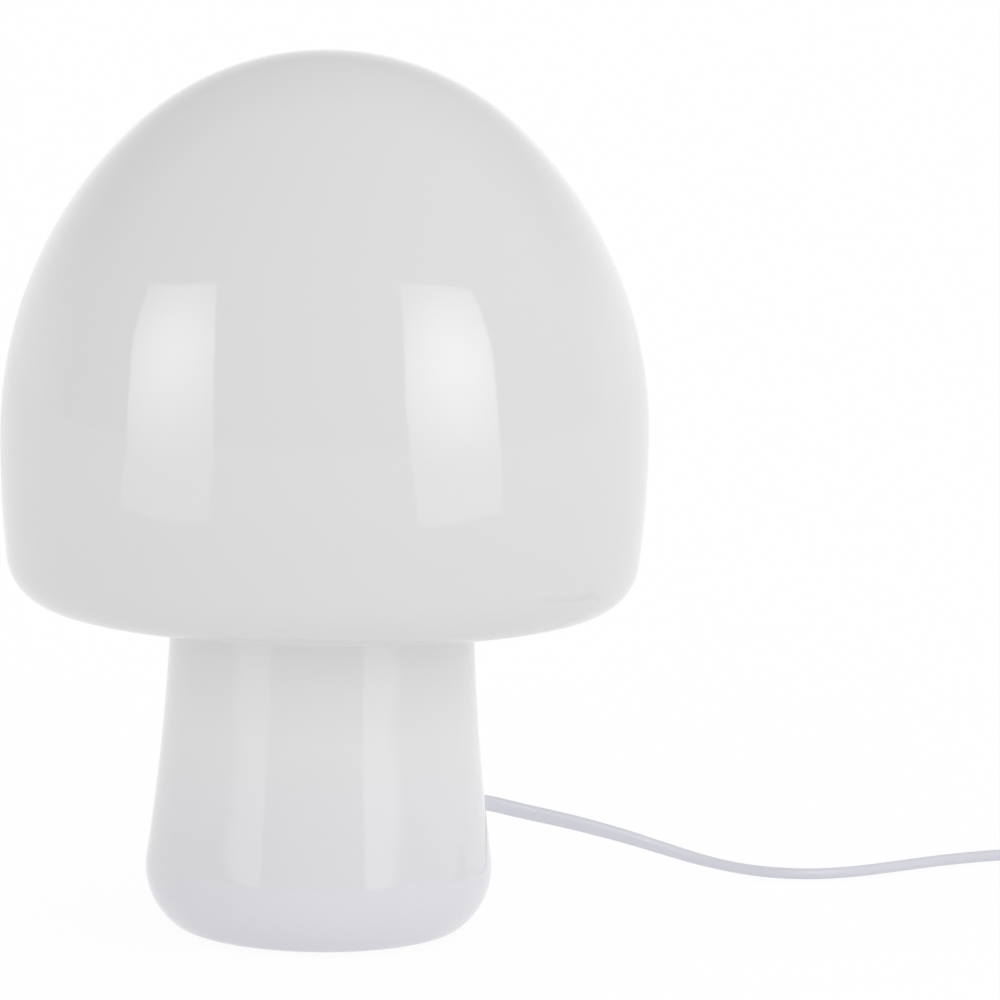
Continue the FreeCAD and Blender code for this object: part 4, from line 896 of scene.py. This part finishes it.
back_relief = relief("switch_relief_back", [p for p in reversed(switch_line) if p.y > SWITCH_BACK])
relief("switch_relief_front", [p for p in coil_line if p.y < SWITCH_FRONT][:60])
plug_relief = relief("plug_relief", [p for p in reversed(coil_line) if p.y < PLUG_BACK][:40], wide=0.0050)


def grip_tree():
    """A row of round bars across X, spaced along Y."""
    tree = bpy.data.node_groups.new("GripBars", "GeometryNodeTree")
    face = tree.interface
    face.new_socket("Geometry", in_out="INPUT", socket_type="NodeSocketGeometry")
    for name, kind in (("Bars", "Int"), ("Pitch", "Float"), ("Radius", "Float"), ("Length", "Float"),
                       ("Finish", "Material")):
        face.new_socket(name, in_out="INPUT", socket_type="NodeSocket" + kind)
    face.new_socket("Geometry", in_out="OUTPUT", socket_type="NodeSocketGeometry")
    asked = add(tree, "NodeGroupInput").outputs
    spacing = add(tree, "ShaderNodeCombineXYZ", links={"Y": asked["Pitch"]})
    line = add(tree, "GeometryNodeMeshLine", links={"Count": asked["Bars"], "Offset": spacing.outputs[0]})
    bar = add(tree, "GeometryNodeMeshCylinder", links={"Radius": asked["Radius"], "Depth": asked["Length"]},
              Vertices=24)
    rows = add(tree, "GeometryNodeInstanceOnPoints",
               links={"Points": line.outputs["Mesh"], "Instance": bar.outputs["Mesh"]},
               Rotation=(0.0, math.pi / 2, 0.0))
    real = add(tree, "GeometryNodeRealizeInstances", links={"Geometry": rows.outputs["Instances"]})
    coated = add(tree, "GeometryNodeSetMaterial",
                 links={"Geometry": real.outputs["Geometry"], "Material": asked["Finish"]})
    add(tree, "NodeGroupOutput", links={"Geometry": coated.outputs["Geometry"]})
    return tree


grips_mesh = from_nodes(bpy.data.meshes.new("grips"), grip_tree(), Bars=5, Pitch=0.0030, Radius=0.0009,
                        Length=0.020, Finish=ABS_WHITE)
GRIPS_START = (0.346, 0.0705, 0.01335)
grips_mesh.transform(Matrix.Translation(GRIPS_START))
smooth(grips_mesh, 30.0)
plug_grips = show("plug_grips", grips_mesh, ABS_WHITE, "lamp_base")


# ---------------------------------------------------------------------------------------------
# Floor, backdrop and light
# ---------------------------------------------------------------------------------------------
def floor():
    """A plain white floor that keeps the lamp's soft shadow."""
    mesh = bpy.data.meshes.new("floor")
    reach = 12.0
    mesh.from_pydata(
        [(-reach, -reach, 0), (reach, -reach, 0), (reach, reach, 0), (-reach, reach, 0)], [], [(0, 1, 2, 3)]
    )
    ground = bpy.data.objects.new("floor", mesh)
    scene.collection.objects.link(ground)
    material = bpy.data.materials.new("paper_floor")
    material.use_nodes = True
    tree = material.node_tree
    tree.nodes.clear()
    ray = add(tree, "ShaderNodeLightPath")
    seen = add(tree, "ShaderNodeMath", {"operation": "MAXIMUM"},
               {0: ray.outputs["Is Camera Ray"], 1: ray.outputs["Is Glossy Ray"]})
    seen = add(tree, "ShaderNodeMath", {"operation": "MAXIMUM"},
               {0: seen.outputs[0], 1: ray.outputs["Is Transmission Ray"]})
    share = add(tree, "ShaderNodeMapRange", links={"Value": seen.outputs[0]}, To_Min=0.33, To_Max=0.9)
    paper = add(tree, "ShaderNodeBsdfDiffuse", Color=paint("#EDEDED"))
    white = add(tree, "ShaderNodeEmission", Color=(1, 1, 1, 1), Strength=1.03)
    mixed = add(tree, "ShaderNodeMixShader",
                links={0: share.outputs[0], 1: paper.outputs[0], 2: white.outputs[0]})
    add(tree, "ShaderNodeOutputMaterial", links={"Surface": mixed.outputs[0]})
    mesh.materials.append(material)


AMBIENT = 0.92
LEAN = (0.17, -0.15, -0.16)  # more light from the right and the front, less from above
GLOW_REACH = 0.3
BOX_TURN_DEG = 50
BOX_DISTANCE = 0.55


def sky():
    """A white room: plain white where it is seen. As a light it is softer, a little brighter in
    front and to the right than above. The gloss shows a dimmer room with a low white backdrop."""
    world = bpy.data.worlds.new("room")
    world.use_nodes = True
    scene.world = world
    tree = world.node_tree
    tree.nodes.clear()
    ray = add(tree, "ShaderNodeLightPath")
    seen = add(tree, "ShaderNodeMath", {"operation": "MAXIMUM"},
               {0: ray.outputs["Is Camera Ray"], 1: ray.outputs["Is Transmission Ray"]})
    way = add(tree, "ShaderNodeTexCoord").outputs["Generated"]
    lean = add(tree, "ShaderNodeVectorMath", {"operation": "DOT_PRODUCT"}, {0: way})
    lean.inputs[1].default_value = LEAN
    soft = add(tree, "ShaderNodeMath", {"operation": "ADD"}, {0: lean.outputs["Value"]})
    soft.inputs[1].default_value = AMBIENT
    parts = add(tree, "ShaderNodeSeparateXYZ", links={"Vector": way})
    top = add(tree, "ShaderNodeMapRange", links={"Value": parts.outputs["Z"]},
              From_Min=0.12, From_Max=0.45, To_Min=1.05, To_Max=0.55)
    backdrop = add(tree, "ShaderNodeMapRange",
                   links={"Value": parts.outputs["Y"], "To Max": top.outputs["Result"]},
                   From_Min=0.25, From_Max=0.5, To_Min=0.75)
    light = add(tree, "ShaderNodeMapRange",
                links={"Value": ray.outputs["Is Glossy Ray"], "To Min": soft.outputs[0],
                       "To Max": backdrop.outputs["Result"]})
    lit = add(tree, "ShaderNodeMapRange",
              links={"Value": seen.outputs[0], "To Min": light.outputs["Result"]}, To_Max=1.0)
    white = add(tree, "ShaderNodeBackground", Color=(1, 1, 1, 1), links={"Strength": lit.outputs["Result"]})
    add(tree, "ShaderNodeOutputWorld", links={"Surface": white.outputs[0]})


def card(name, turn_deg, distance, outline, strength, hot):
    """A soft box that only shows in the gloss. Its outline and hot, its brightest place, are
    (across, height) in metres; strength is what it gives there and GLOW_REACH away."""
    turn = math.radians(turn_deg)
    facing = Vector((math.sin(turn), -math.cos(turn), 0.0))
    side = Vector((math.cos(turn), math.sin(turn), 0.0))
    centre = facing * distance
    mesh = bpy.data.meshes.new(name)
    mesh.from_pydata([centre + side * x + UP * z for x, z in outline], [], [list(range(len(outline)))])
    lamp = bpy.data.objects.new(name, mesh)
    scene.collection.objects.link(lamp)
    lamp.visible_camera = lamp.visible_diffuse = lamp.visible_shadow = False
    lamp.visible_transmission = False
    material = bpy.data.materials.new(name)
    material.use_nodes = True
    tree = material.node_tree
    tree.nodes.clear()
    away = add(tree, "ShaderNodeVectorMath", {"operation": "DISTANCE"}, {0: object_place(tree)})
    away.inputs[1].default_value = centre + side * hot[0] + UP * hot[1]
    glow = add(tree, "ShaderNodeMapRange", {"interpolation_type": "SMOOTHSTEP"},
               {"Value": away.outputs["Value"]}, From_Min=0.0, From_Max=GLOW_REACH,
               To_Min=strength[0], To_Max=strength[1])
    light = add(tree, "ShaderNodeEmission", Color=(1, 1, 1, 1), links={"Strength": glow.outputs["Result"]})
    add(tree, "ShaderNodeOutputMaterial", links={"Surface": light.outputs[0]})
    mesh.materials.append(material)


LEFT_BOX = [
    (-0.200, 0.050), (-0.009, 0.040), (0.124, 0.036), (0.143, 0.120), (0.135, 0.263), (0.106, 0.416),
    (0.040, 0.591), (-0.106, 0.553), (-0.248, 0.536), (-0.221, 0.368), (-0.186, 0.275), (-0.165, 0.130),
]
RIGHT_BOX = [
    (-0.197, 0.028), (-0.099, 0.037), (-0.016, 0.047), (0.095, 0.052), (0.075, 0.130), (0.072, 0.251),
    (0.092, 0.394), (0.093, 0.546), (-0.040, 0.600), (-0.195, 0.665), (-0.229, 0.456), (-0.242, 0.284),
    (-0.229, 0.128),
]

floor()
sky()
card("soft_box_left", -BOX_TURN_DEG, BOX_DISTANCE, LEFT_BOX, (4.1, 1.75), (-0.04, 0.36))
card("soft_box_right", BOX_TURN_DEG, BOX_DISTANCE, RIGHT_BOX, (4.5, 1.9), (-0.06, 0.36))

# ---------------------------------------------------------------------------------------------
# Colour
# ---------------------------------------------------------------------------------------------
scene.view_settings.view_transform = "Standard"
